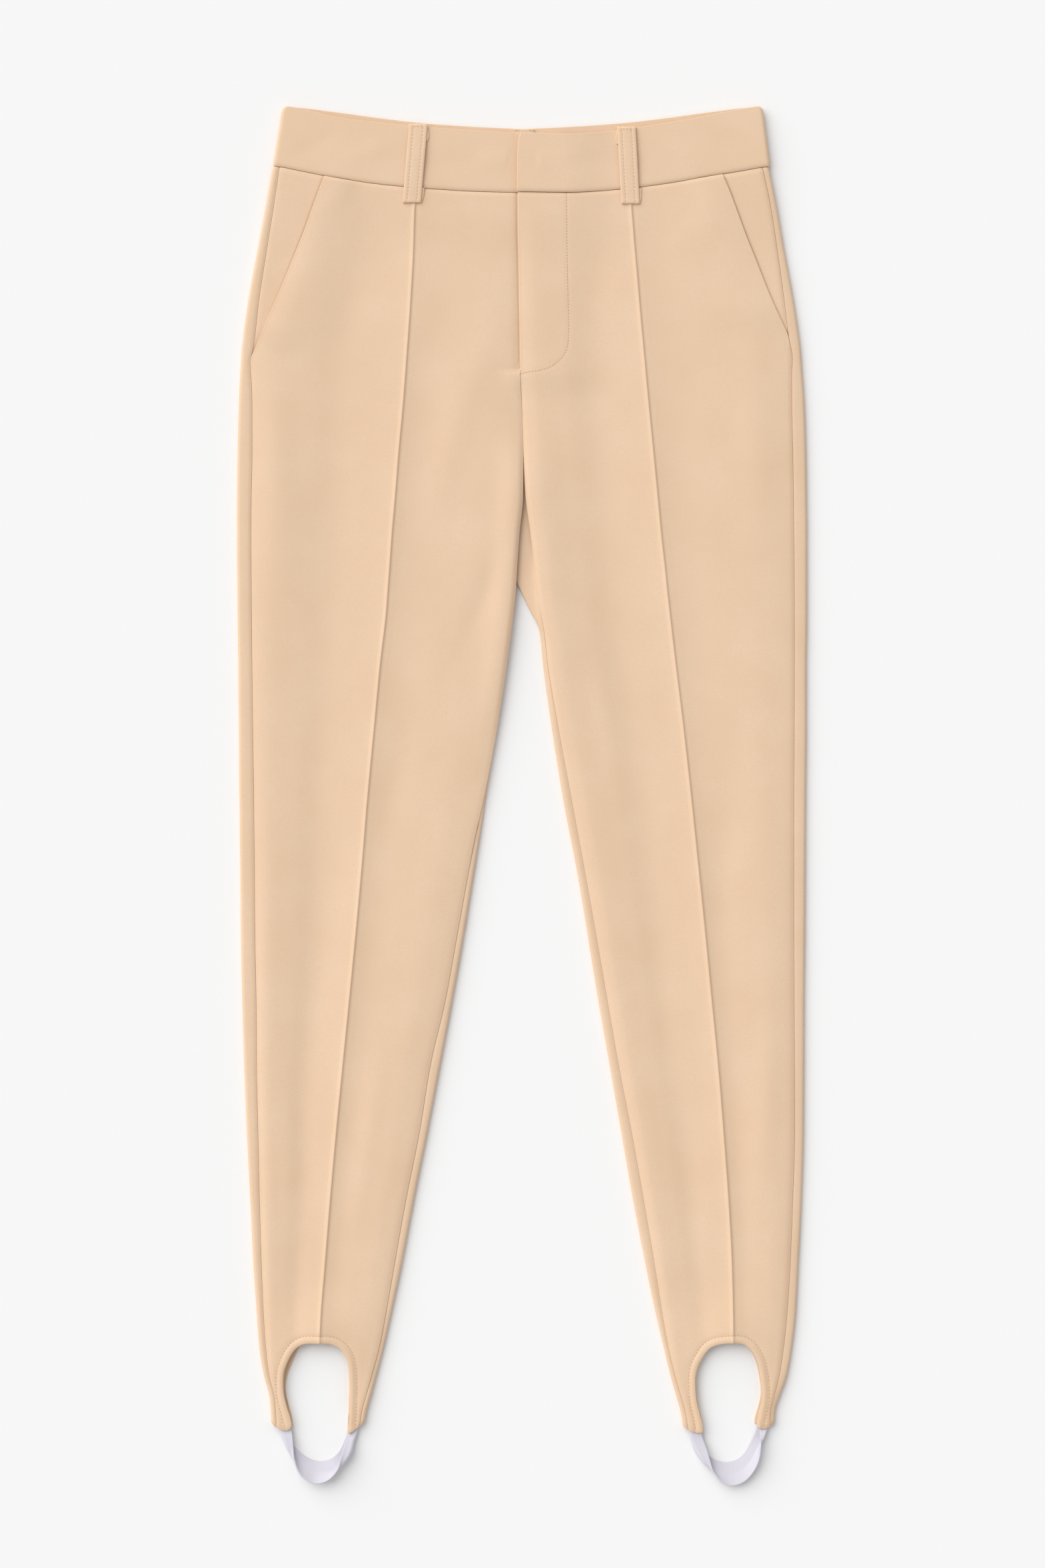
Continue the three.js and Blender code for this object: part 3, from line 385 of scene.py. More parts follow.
def leg_net(side, columns_at, out_of, first, last, for_back, kept=()):
    """The flat net of a leg panel: rows across it down to the arch, then strips down the two edges, and lines
    from those to the arch. columns_at gives the columns' places at rows, out_of a place's distance out, and
    first and last the columns between which the arch is cut. kept: columns that run straight to the arch."""
    upper = columns_at(PANEL_ROWS)
    ids = np.arange(upper.size).reshape(upper.shape)
    places = [np.stack([upper.ravel(), np.repeat(PANEL_ROWS, upper.shape[1])], 1)]
    quads, top_ids, size, strips = [quads_of(ids)], ids[-1], upper.size, []
    for columns in (np.arange(first + 1), np.arange(last, len(top_ids))):
        own = np.arange(len(columns)), columns
        limit = np.full(len(columns), TONGUE_ROW)
        for _ in range(12):
            limit = tongue_end(side, out_of(columns_at(limit)[own], limit))
        down = ARCH_ROW + (limit - ARCH_ROW) * (np.arange(1, EDGE_STEPS + 1) / EDGE_STEPS)[:, None]
        places.append(np.stack([[columns_at(row)[own] for row in down], down], -1).reshape(-1, 2))
        strips.append(np.vstack([top_ids[columns], size + np.arange(down.size).reshape(down.shape)]))
        quads.append(quads_of(strips[-1]))
        size += down.size
    places = np.concatenate(places)
    start_ids = np.concatenate([strips[0][:0:-1, -1], top_ids[first:last + 1], strips[1][1:, 0]])
    start = places[start_ids]
    arch = arch_of(side, for_back)
    arch_at = along_line(arch)
    level = ARCH_MIDDLE[1] - arch[:, 1]
    inner_half = arch[:, 0] < ARCH_MIDDLE[0]
    lean = np.where(inner_half, level - (ARCH_MIDDLE[0] - arch[:, 0]), arch[:, 0] - ARCH_MIDDLE[0] - level)
    inner_corner, outer_corner = (np.interp(0, lean[half], arch_at[half]) for half in (inner_half, ~inner_half))
    run = along_line(start)
    knots = [(0, 0), (EDGE_STEPS, inner_corner)]
    if kept:
        straight = columns_at(ARCH_TOP)[0]
        top = (arch_at > inner_corner) & (arch_at < outer_corner)
        knots += [(EDGE_STEPS + c - first, np.interp(straight[c], arch[top, 0], arch_at[top])) for c in kept]
    knots += [(len(start) - 1 - EDGE_STEPS, outer_corner), (len(start) - 1, arch_at[-1])]
    target = np.interp(run, [run[i] for i, _ in knots], [a for _, a in knots])
    goal = np.stack([np.interp(target, arch_at, arch[:, k]) for k in range(2)], 1)
    far = np.linalg.norm(goal - start, axis=1)
    near_arch = ARCH_STEPS[None] * np.minimum(1, far / SHORT_LINE)[:, None]
    rest = np.linspace(0, 1, OPEN_STEPS + 1)[None, 1:-1]
    steps = np.hstack([near_arch, near_arch[:, -1:] + rest * (far[:, None] - near_arch[:, -1:])])[:, ::-1]
    share = 1 - steps / far[:, None]
    patch = start[:, None] + share[..., None] * (goal - start)[:, None]
    for end, distance in ((0, run), (-1, run[-1] - run)):
        level_end = tongue_end(side, out_of(patch[end, :, 0], patch[end, :, 1]))
        pull = np.clip(1 - distance / TONGUE_EASE, 0, 1) ** 2
        patch[:, :, 1] += pull[:, None] * (level_end - patch[end, :, 1])[None]
    ids = np.hstack([start_ids[:, None], size + np.arange(patch[..., 0].size).reshape(patch.shape[:2])])
    quads.append(quads_of(ids)[:, ::-1])
    return *np.concatenate([places, patch.reshape(-1, 2)]).T, np.vstack(quads)


def from_line(line, out, down, near):
    """The distance of each place from a line, or 99 beyond the given box of out and down."""
    away = np.full(np.broadcast(out, down).shape, 99.0)
    inside = (out > near[0]) & (out < near[1]) & (down > near[2]) & (down < near[3])
    gap = np.stack([out[inside], down[inside]], 1)[:, None] - line[None]
    away[inside] = np.sqrt((gap ** 2).sum(2).min(1))
    return away


def from_arch(side, out, down, for_back):
    near = (ARCH_MIDDLE[0] - ARCH_REACH, math.inf, ARCH_ROW, math.inf)
    return from_line(arch_of(side, for_back)[::2], out, down, near)


def cloth_wall(name, outside, inside, quads, material, turn=0.5, reach=0.0):
    """A closed wall of cloth from the points of its two sides, with its edges rounded over. reach: how far the
    rounded edge stands out, as two seamed edges press against each other."""
    quads = np.asarray(quads)
    a, b, d = (outside[quads[:, k]] for k in (0, 1, 3))
    if (np.cross(b - a, d - a) * (outside - inside)[quads[:, 0]]).sum() < 0:
        quads = quads[:, ::-1]
    pairs = np.concatenate([quads[:, [k, (k + 1) % 4]] for k in range(4)])
    known = set(map(tuple, pairs.tolist()))
    rim = sorted((a, b) for a, b in known if (b, a) not in known)
    following, before = dict(rim), {b: a for a, b in rim}
    edge = np.array(sorted(following))
    after = outside[[following[v] for v in edge]] - outside[edge]
    prior = outside[edge] - outside[[before[v] for v in edge]]
    up = outside[edge] - inside[edge]
    away = unit(np.cross(unit(after) + unit(prior), up))
    on_rim = np.zeros(len(outside), bool)
    on_rim[edge] = True
    crossing = pairs[on_rim[pairs[:, 0]] != on_rim[pairs[:, 1]]]
    length = np.linalg.norm(outside[crossing[:, 0]] - outside[crossing[:, 1]], axis=1)
    room_in = np.ones(len(outside))
    ends = np.where(on_rim[crossing[:, 0]], crossing[:, 0], crossing[:, 1])
    np.minimum.at(room_in, ends, length)
    turn, reach = (np.broadcast_to(v, len(outside))[edge] for v in (turn, reach))
    depth = np.minimum(turn * MM, 0.6 * room_in[edge])[:, None] * away
    outside, inside = outside.copy(), inside.copy()
    outside[edge] -= depth
    inside[edge] -= depth
    middle = (outside[edge] + inside[edge]) / 2
    far = depth + reach[:, None] * MM * away
    rings = [middle + far * math.sin(t) + up / 2 * math.cos(t) for t in np.radians([45, 90, 135])]
    count, many = len(outside), len(edge)
    ring_ids = [edge] + [2 * count + k * many + np.arange(many) for k in range(3)] + [edge + count]
    first, second = (np.searchsorted(edge, ends) for ends in zip(*rim))
    bands = [np.stack([u[second], u[first], v[first], v[second]], 1) for u, v in zip(ring_ids, ring_ids[1:])]
    faces = np.vstack([quads, quads[:, ::-1] + count, *bands])
    return new_object(name, np.vstack([outside, inside, *rings]), faces, material)


# How a seamed edge and a folded hem are rounded, how far the seamed one presses on its neighbour, and how it
# does so along the left inseam, which is pulled shut.
SEAM_TURN = 0.18
HEM_TURN = 0.8
SEAM_PRESS = 0.09
CLOSED_PRESS = 0.16
WEAVE_PITCH = 0.9


def weave(material, at, pitch):
    """The relief of a close weave, with its threads pitch mm apart."""
    scale = math.pi / 10 / (pitch * MM)
    warp, weft = (
        add_node(material, "TexWave", {"Scale": scale}, {"Vector": (at, "Object")}, bands_direction=axis)
        for axis in "XY")
    return add_node(material, "Math", links={0: (warp, 1), 1: (weft, 1)}, operation="MULTIPLY"), 0


def mixed(material, share, low, high):
    """A colour between two others, by an output's share."""
    return add_node(material, "Mix", {6: linear(low), 7: linear(high)}, {0: share}, data_type="RGBA"), 2


def suiting():
    """Bi-stretch wool-blend suiting, beige: woven close and pressed, so it is matt with a faint bloom of fibre at
    grazing angles. Its threads, 0.4 mm apart, are drawn 0.9 mm apart so that they show."""
    material, at = new_material("pressed_stretch_suiting")
    cloud, slub = noise(material, at, 22, 3), noise(material, at, 650, 2, Roughness=0.6)
    shade = add_node(material, "MapRange", {"From Min": 0.3, "From Max": 0.7}, {"Value": cloud})
    fleck = add_node(material, "MapRange", {"From Min": 0.35, "From Max": 0.75, "To Max": 0.35}, {"Value": slub})
    ground = mixed(material, (shade, 0), "#e7c9ab", "#e3c4a4")
    colour = add_node(material, "Mix", {7: linear("#dbba99")}, {0: (fleck, 0), 6: ground}, data_type="RGBA")
    threads = weave(material, at, WEAVE_PITCH)
    relief = add_node(material, "Math", {1: 0.6}, {0: slub, 2: threads}, operation="MULTIPLY_ADD")
    look = {"Roughness": 0.85, "Specular IOR Level": 0.25, "Sheen Weight": 0.12, "Sheen Roughness": 0.5,
            "Sheen Tint": linear("#fff0de")}
    return finish_material(material, look, (relief, 0), strength=0.25, depth=0.05, colour=(colour, 2))


SUITING = suiting()
ROLL = np.linspace(0, 1, 8)
BACK_FLAT = np.linspace(0, 1, 35)
PANEL_ROWS = np.concatenate([
    [BAND_TOP, 47, 48.2, 49.6, 51.2, 53, 55, 57.4], np.linspace(59, 66, 6), np.linspace(70, 166, 22),
    np.linspace(168, 214, 24), np.linspace(218, ARCH_ROW, 152)])
BACK_CREASES = (
    (60, 235, 38, 150, 9, 0.8), (120, 250, -20, 120, 14, 0.6), (40, 330, 60, 90, 8, 0.9), (95, 420, 12, 260, 16, 0.7),
    (150, 560, -8, 200, 12, 0.5), (110, 640, 30, 110, 10, 0.8), (125, 800, 5, 180, 13, 0.6),
    (150, 905, -12, 90, 9, 0.7),
)
CROTCH_SWELL = 3.2
SWELL_STARTS = (235, 300)
SWELL_ENDS = (400, 520)
FLAP = np.array([0, 0.02, 0.05, 0.1, 0.2, 0.35, 0.6])
# The left back's turned end rises to the front that it is sewn to: over which rows, by what share of the
# crotch's swell, and how far in from its end.
FLAP_RISES = (322, 378)
FLAP_SWELL = 0.45
FLAP_EASE = 1.6
SEAM_DEPTH = 0.45
SEAM_BREADTH = 1.3
CREASE_EASE = 14
HEM_REACH = 4
INSEAM_REACH = 3


def crotch_swell(row):
    """How much the fronts' inner edges stand up round the crotch, where four seams meet."""
    return CROTCH_SWELL * ease(*SWELL_STARTS, row) * (1 - ease(*SWELL_ENDS, row))


def back_ends(side, row):
    """Where the flat part of the back panel ends, how its folds curve, and the ends of its turned parts."""
    full = front_height(row) - back_height(row)
    inner = at_row(side, "fold_share", row) * full / 2
    outer = side["roll"] * full / 2
    inner_start = at_row(side, "fold", row) + inner + CLOTH / 2
    outer_start = at_row(side, "outer", row) - outer - CLOTH / 2
    inner_flap = np.maximum(at_row(side, "lap", row) - inner_start, 0.2)
    outer_flap = np.maximum(outer_start - at_row(side, "side", row), 0.2)
    return full, inner, outer, inner_start, outer_start, inner_flap, outer_flap


def back_columns(side, row):
    """Places across the flat cut of the back panel: both turned parts, both folds and the flat part."""
    row = np.atleast_1d(np.asarray(row, float))[:, None]
    _, inner, outer, inner_start, outer_start, inner_flap, outer_flap = back_ends(side, row)
    inner_roll, outer_roll = math.pi * inner, math.pi * outer
    return np.hstack([
        inner_start - inner_roll - inner_flap * (1 - FLAP),
        inner_start - inner_roll * (1 - ROLL[None, :-1]),
        inner_start + (outer_start - inner_start) * BACK_FLAT[None],
        outer_start + outer_roll * ROLL[None, 1:],
        outer_start + outer_roll + outer_flap * (1 - FLAP[::-1]),
    ])


def back_form(side, wide, row):
    """Where a place of the flat back panel lies once it is folded: out, height, and the way it faces."""
    full, inner, outer, inner_start, outer_start, inner_flap, outer_flap = back_ends(side, row)
    low = back_height(row)
    lap_share = at_row(side, "lap_share", row)
    inner_run, outer_run = np.maximum(inner_start - wide, 0), np.maximum(wide - outer_start, 0)
    inner_turn = np.minimum(inner_run / inner, math.pi)
    outer_turn = np.minimum(outer_run / outer, math.pi)
    inner_past = np.maximum(inner_run - math.pi * inner, 0)
    outer_past = np.maximum(outer_run - math.pi * outer, 0)
    out = np.where(inner_run > 0, inner_start - inner * np.sin(inner_turn) + inner_past,
                   np.where(outer_run > 0, outer_start + outer * np.sin(outer_turn) - outer_past, wide))
    height = low + inner * (1 - np.cos(inner_turn)) + outer * (1 - np.cos(outer_turn))
    height = height + (lap_share * full - 2 * inner) * np.clip(inner_past / inner_flap, 0, 1)
    height = height + (full - 2 * outer) * np.clip(outer_past / outer_flap, 0, 1)
    if side is LEFT:
        to_front = (1 - lap_share) * full + FLAP_SWELL * crotch_swell(row)
        at_end = np.exp(-((inner_flap - inner_past) / FLAP_EASE) ** 2)
        height = height + (inner_past > 0) * ease(*FLAP_RISES, row) * to_front * at_end
    turn = np.where(inner_run > 0, -inner_turn, outer_turn)
    return out, height, np.sin(turn), -np.cos(turn)


def seam_dip(distance):
    """How far a seam pulls the cloth beside it down."""
    return -SEAM_DEPTH * np.exp(-(np.maximum(distance, 0) / SEAM_BREADTH) ** 2)


def fit(piece, node, slot, **sheet):
    """Puts a piece and its sewing on the part's body and hides the part's own solid. Its slot and how it lies are not
    used.
    """
    for each in (*sheet.get("with_pieces", ()), piece):
        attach(each, "root")
    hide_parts(node)


def back_panel(side):
    def out_of(wide, row):
        return back_form(side, wide, row)[0]

    first = len(FLAP) + len(ROLL) - 1
    last = first + len(BACK_FLAT) - 1
    wide, row, quads = leg_net(side, lambda r: back_columns(side, r), out_of, first, last, for_back=True)
    out, height, face_out, face_up = back_form(side, wide, row)
    _, inner, outer, inner_start, outer_start, inner_flap, outer_flap = back_ends(side, row)
    flat = (wide >= inner_start) & (wide <= outer_start)
    lift = np.where(flat, creased(BACK_CREASES, out, row), 0) * ease(0, CREASE_EASE, wide - inner_start)
    lift = lift * ease(0, CREASE_EASE, outer_start - wide)
    to_inner_end = wide - (inner_start - math.pi * inner - inner_flap)
    to_outer_end = outer_start + math.pi * outer + outer_flap - wide
    to_outside = seam_dip(to_inner_end) + side["back_sink"] * seam_dip(to_outer_end) + seam_dip(row - BAND_TOP)
    turned_up = wide > outer_start + (math.pi / 2) * outer
    down = np.where(turned_up, row_down(side, row, out, "seam"), row_down(side, row, out, "back_seam"))
    outside, inside = (
        place(side, out + face_out * shift, down, height + lift + face_up * shift)
        for shift in (CLOTH / 2 + to_outside, -CLOTH / 2 + to_outside))
    turn = np.where(from_arch(side, out, down, for_back=True) < HEM_REACH, HEM_TURN, SEAM_TURN)
    reach = np.where((to_inner_end < INSEAM_REACH) & (side is LEFT), CLOSED_PRESS, SEAM_PRESS)
    return cloth_wall(f"{side['name']}_back_panel", outside, inside, quads, SUITING, turn, reach)


for side in SIDES:
    fit(back_panel(side), f"{side['name']}_back", "suiting",
        flat=(0.262, 0.980), area=0.1735, held="laid", rests_on=["paper"])

# ---- Stirrups ----
# Flat woven elastic, cool white, 17 mm wide. Each end is folded double and sewn into a tongue of the hem, and
# under the foot it falls open with its front half hanging free.
ELASTIC = 1.15
RIBS = 34
# Each row is a place along the tape, from the inner tongue to the outer one: its back edge (b), middle line (m)
# and front edge (f).
STIRRUP = "b_out b_down b_height m_out m_down m_height f_out f_down f_height"
RIGHT["stirrup"] = table(STIRRUP, [
    (134.2, 1006, 2.3, 126.6, 1004, 3.05, 133.6, 1006.5, 3.8),
    (135.4, 1023.6, 2.3, 127.6, 1021.1, 3.05, 134.5, 1024.2, 3.8),
    (137.6, 1029.6, 1.8, 129.8, 1029.4, 2.6, 136.6, 1029.6, 5.2),
    (139.8, 1034.6, 1.3, 131.6, 1037.4, 2.3, 138.7, 1035.6, 7.6),
    (143, 1039.2, 0.9, 135.4, 1044, 2.8, 140.3, 1042, 9.4), (147.4, 1043, 0.7, 142.4, 1051, 3.6, 143.2, 1051.8, 9.6),
    (153, 1045.1, 0.7, 151, 1053.2, 4, 150, 1059.4, 9.2), (159.3, 1045.2, 0.7, 159.6, 1053.6, 4, 159.6, 1061.9, 8.8),
    (165.8, 1042.9, 0.7, 167.4, 1050.4, 3.8, 168.4, 1057.6, 9.2),
    (171.4, 1039, 0.9, 174, 1046.2, 3.2, 173.2, 1051.4, 9.4),
    (175.2, 1035.2, 1.2, 178.6, 1040.2, 2.6, 175.6, 1043.2, 8.6),
    (177, 1030.6, 1.7, 182.6, 1032.4, 2.6, 176.5, 1034.6, 6.4),
    (178.4, 1024.6, 2.1, 185.6, 1025.4, 2.9, 177.2, 1026.8, 4.8),
    (179, 1020.6, 2.3, 187.2, 1020.4, 3.05, 178, 1021.4, 3.8),
    (181.8, 1006, 2.3, 188.8, 1004, 3.05, 181.6, 1006.5, 3.8),
])
LEFT["stirrup"] = table(STIRRUP, [
    (135.4, 1006, 2.3, 128.6, 1004, 3.05, 135.4, 1006.5, 3.8),
    (138, 1023.6, 2.3, 129.2, 1021.8, 3.05, 138.4, 1024.1, 3.8),
    (139.8, 1030.2, 1.9, 130.7, 1029.4, 2.6, 140.4, 1030.5, 4.2),
    (142.2, 1036.6, 1.5, 132.9, 1035.9, 2.3, 142.7, 1036.9, 5.4),
    (144.8, 1041.6, 1, 136.6, 1042, 2.2, 144.5, 1043.2, 6.8),
    (149, 1044.5, 0.8, 143.4, 1049.4, 2.6, 147.6, 1052.8, 8),
    (154.4, 1045.9, 0.7, 152.8, 1053.4, 3, 153.4, 1060.6, 7.4),
    (160, 1045.7, 0.7, 160.8, 1054.4, 3, 162, 1063.8, 6.4),
    (165.6, 1043.8, 0.7, 168.6, 1052, 2.9, 171.6, 1060.3, 6.2),
    (170.6, 1039.8, 0.9, 175.2, 1046, 2.8, 178.8, 1052, 7),
    (174.2, 1034.2, 1.1, 179.8, 1038.6, 2.8, 182.6, 1043, 7.8),
    (177.4, 1027.6, 1.6, 184, 1031.6, 2.8, 183.4, 1033.8, 8.2),
    (179.8, 1021.4, 2.1, 187.2, 1025, 2.9, 183, 1025.6, 5.8), (181, 1016.4, 2.3, 189, 1017.6, 3.05, 183, 1018.4, 3.8),
    (183.6, 1004.6, 2.3, 190.2, 1003, 3.05, 184.2, 1005, 3.8),
])


def woven_elastic():
    """Polyester elastic tape, cool white: fine ribs run along it, and its smooth yarn has a slight gloss."""
    material, at = new_material("woven_elastic_tape")
    across = add_node(material, "Attribute", attribute_name="tape")
    ribs = add_node(
        material, "TexWave", {"Scale": RIBS * math.pi / 10, "Distortion": 0.3}, {"Vector": (across, "Vector")},
        bands_direction="X")
    grain = noise(material, at, 1400, 2)
    relief = add_node(material, "Math", {1: 0.4}, {0: grain, 2: (ribs, 1)}, operation="MULTIPLY_ADD")
    colour = mixed(material, (ribs, 1), "#d0cdd6", "#d3d0d8")
    look = {"Roughness": 0.6, "Specular IOR Level": 0.4}
    return finish_material(material, look, (relief, 0), strength=0.1, depth=0.05, colour=colour)


def cloth_grid(name, outside, inside, material, turn=0.5, reach=0.0):
    """A closed wall from two grids of points."""
    quads = quads_of(np.arange(outside[..., 0].size).reshape(outside.shape[:2]))
    return cloth_wall(name, outside.reshape(-1, 3), inside.reshape(-1, 3), quads, material, turn, reach)


def laid(name, side, out, down, height, thick, material, face=0, turn=0.5, reach=0.0):
    """A piece that lies level, thick mm thick about its height, with the relief of its face."""
    outside, inside = (place(side, out, down, level) for level in (height + thick / 2 + face, height - thick / 2))
    return cloth_grid(name, outside, inside, material, turn, reach)


def offset_grid(middle, thickness):
    """The two sides of a sheet whose middle is a grid of points."""
    along, across = np.gradient(middle, axis=0), np.gradient(middle, axis=1)
    normal = unit(np.cross(along, across))
    return middle + normal * thickness / 2, middle - normal * thickness / 2


# The cosine between the tape's two halves where it lies open and where it is doubled.
FOLDED = (-0.6, 0.8)
TAPE_STATIONS = 90
TAPE_ACROSS = 25
ELASTIC_TAPE = woven_elastic()


def stirrup(side):
    rows = side["stirrup"]
    lines = {}
    for edge in "bmf":
        points = place(side, rows[f"{edge}_out"], rows[f"{edge}_down"], rows[f"{edge}_height"])
        lines[edge] = smooth_line(points, TAPE_STATIONS)
    back, middle, front = lines["b"], lines["m"], lines["f"]
    to_back, to_front = back - middle, front - middle
    cosine = (to_back * to_front).sum(1) / np.linalg.norm(to_back, axis=1) / np.linalg.norm(to_front, axis=1)
    folded = ease(*FOLDED, cosine)

    def beside(edge):
        """A line next to the middle one, which keeps the tape's fold round where it is doubled."""
        point = middle + (0.33 - 0.23 * folded)[:, None] * (edge - middle)
        point[:, 2] = middle[:, 2] + (edge - middle)[:, 2] * (0.33 + 0.57 * folded)
        return point

    near_back, near_front = beside(back), beside(front)
    stops = np.stack([back, (back + near_back) / 2, near_back, middle, near_front,
                      (front + near_front) / 2, front], 1)
    sheet = np.stack([smooth_line(station, TAPE_ACROSS) for station in stops])
    outside, inside = offset_grid(sheet, ELASTIC * MM)
    piece = cloth_grid(f"{side['name']}_stirrup_elastic", outside, inside, ELASTIC_TAPE, 0.3)
    share = np.tile(np.linspace(0, 1, TAPE_ACROSS), TAPE_STATIONS)
    values = np.zeros((len(piece.data.vertices), 3))
    values[:, 0] = np.resize(share, len(values))
    tape = piece.data.attributes.new("tape", "FLOAT_VECTOR", "POINT")
    tape.data.foreach_set("vector", values.ravel())
    return piece


for side in SIDES:
    fit(stirrup(side), f"{side['name']}_stirrup", "elastic",
        flat=(0.017, 0.125), held="folded", rests_on=[f"{side['name']}_back_panel"])

# ---- Fly shield ----
# A doubled strip of suiting behind the closed zip. It is sewn to the right front's edge and lies hidden under
# the left front.
FLY_SHIELD = 30
SHIELD_FOOT = 186


def fly_shield():
    rows = np.linspace(BAND_TOP, SHIELD_FOOT, 57)[:, None]
    start = SEAM - read(RIGHT_LEG, "edge", rows)
    out = start + (FLY_SHIELD - start) * np.linspace(0, 1, 13)
    down = row_down(LEFT, rows, out, "seam") + SEAM
    height = front_height(rows) + creased(((18, 110, 3, 130, 6, 0.25),), out, down)
    return laid("fly_shield_strip", LEFT, out, down, height, CLOTH, SUITING)


fit(fly_shield(), "fly_shield", "suiting", flat=(0.027, 0.141), held="laid", rests_on=["left_back_panel"])

# ---- Pocket pieces ----
# The side pieces of the slant pockets, suiting. They show between the pocket opening and the side seam and run
# on under the front.
LAP = 1.7
LAP_EASE = 30
WAIST_DIP = 1.6
POCKET_FOOT = 199
POCKET_UNDER = 10
PRESSED = 0.5
OPENING = "out down"
RIGHT["opening"] = table(OPENING, [
    (152.7, 54), (159.7, 72.5), (169.1, 98.2), (179.5, 123.9), (190.3, 149.6), (201.4, 175.3), (205.6, 185.3),
    (208.2, 190.7), (210.4, 196),
])
LEFT["opening"] = table(OPENING, [
    (154.2, 53), (158.2, 62.2), (171.8, 98.2), (182, 123.9), (192.3, 149.6), (198.2, 162.4), (204.3, 175.3),
    (206.8, 182.5),
])
# Columns from 10 mm below the front to beyond the opening, then on to the side seam.
ROUND_OPENING = np.array([0, 3, 5.5, 7.2, 8.3, 9, 9.5, 10, 10.4, 10.9, 11.6, 12.6])
TO_SIDE_SEAM = np.array([0.2, 0.4, 0.6, 0.8, 0.9, 0.95, 0.98, 1])
NARROW_PIECE = 18
PRESS_FADES = (90, 185)


def front_outer(side, row):
    """The front's outer edge: the slanted pocket opening, then the side seam."""
    seam = at_row(side, "side", row) - SEAM
    out = seam
    for _ in range(6):
        out = np.minimum(seam, read(side["opening"], "out", row_down(side, row, out, "seam")))
    return np.where(row >= side["opening"]["down"][-1], seam, out)


def lap_left(side, row):
    """The share of the front's lap over the pocket piece that is left, none at the pocket's foot."""
    foot = side["opening"]["down"][-1]
    return 1 - ease(foot - LAP_EASE, foot, row)


def pocket_piece(side):
    rows = np.linspace(BAND_TOP, POCKET_FOOT, 71)[:, None]
    seam = at_row(side, "side", rows) - SEAM
    opening = front_outer(side, rows)
    start = opening - POCKET_UNDER
    near = start + ROUND_OPENING * np.minimum(1, (seam - start) / NARROW_PIECE)
    out = np.hstack([near, near[:, -1:] + (seam - near[:, -1:]) * TO_SIDE_SEAM])
    down = row_down(side, rows, out, "seam")
    beyond = np.clip((out - opening) / np.maximum(seam - opening, 1), 0, 1)
    height = front_height(rows) - LAP * (1 - lap_left(side, rows)) * (1 - beyond)
    height = height - PRESSED * (1 - ease(*PRESS_FADES, rows)) * bump_at(0, 0.9, out - opening)
    dips = side["front_sink"] * seam_dip(seam - out) + WAIST_DIP * seam_dip(rows - BAND_TOP)
    name = f"{side['name']}_pocket_side_piece"
    return laid(name, side, out, down, height, CLOTH, SUITING, dips, SEAM_TURN, SEAM_PRESS)


for side in SIDES:
    fit(pocket_piece(side), f"{side['name']}_pocket_piece", "suiting",
        flat=(0.046, 0.146), area=0.0042, held="laid", rests_on=[f"{side['name']}_back_panel"])

# ---- Front panels ----
# The same suiting, pressed flat. Each has a pintuck, a pinch of cloth sewn down along its foot from the belt loop
# to the hem, and a faced hem that arches over the instep. The left front laps the right one at the fly.
FLY_WIDTH = 32
FLY_EASE = 40
FLY_END = 204
LAP_GONE = 226
POCKET_FLAT = 12
TUCK_START = 56.5
TUCK_EASE = 3.5
FACING = 6
FLY_DIP = 0.7
FLY_GROOVE = 0.2
BESIDE_FLY = (2.8, 4)
# How far the cloth stands up above the middle of each arch, how broadly, and over which rows that starts and ends.
ARCH_LIFT = 3.6
LIFT_BREADTH = 24
LIFT_STARTS = (905, 950)
LIFT_ENDS = (958, 1000)
# The cloth is held level by the band down to the first row, and by the faced hem over the next two.
CALM_TO = 70
CALM_FROM = (960, 1000)
SEAM_EASE = 12
EDGE_EASE = 4
# The pintuck's profile across it, towards +X on both legs.
TUCK = table("across height", [
    (-4.4, 0), (-3.7, 0.04), (-3.15, 0.12), (-2.8, 0.2), (-2.35, 0.36), (-1.8, 0.56), (-1.15, 0.8), (-0.65, 0.92),
    (-0.25, 0.62), (0.1, -0.1), (0.7, -0.3), (1.6, -0.25), (2.6, -0.12), (3.8, 0), (5.2, 0), (7.2, 0),
])
FROM_EDGE = np.array([0, 0.5, 1.1, 1.9, 3.1, 5.0])
FROM_FLY_EDGE = np.array([0, 0.5, 1.1, 1.9, 3.1, 4.2, 4.9, 5.5, 6.1, 6.7, 7.3, 8.0, 9.2])
INSIDE_TUCK = np.concatenate([np.linspace(0, 0.44, 23)[1:], np.linspace(0.5, 1, 9)[:-1]])
OUTSIDE_TUCK = np.linspace(0, 1, 18)[1:-1]
# Soft rises and troughs of each front: middle out and down, turn from straight down, length, width and height.
RIGHT["creases"] = (
    (186, 300, -3, 260, 11, 1.05), (150, 640, 6, 240, 12, -0.75), (52, 250, 16, 210, 13, 0.9),
    (30, 380, 22, 160, 9, -0.75), (120, 800, 9, 190, 9, 0.75), (76, 140, 4, 130, 16, 0.75),
    (140, 120, -10, 110, 18, -0.75), (178, 820, -5, 200, 10, 0.75), (96, 520, 12, 170, 12, -0.6),
)
LEFT["creases"] = (
    (182, 250, 2, 240, 12, 0.9), (158, 560, -4, 260, 13, -0.75), (44, 250, 14, 190, 13, 0.45),
    (66, 470, 12, 240, 12, 0.9), (120, 700, 6, 190, 10, 0.6), (186, 780, -2, 220, 9, 0.75),
    (128, 110, 6, 110, 18, 0.75), (60, 130, -8, 100, 14, -0.6), (142, 880, 4, 110, 9, 0.6),
)
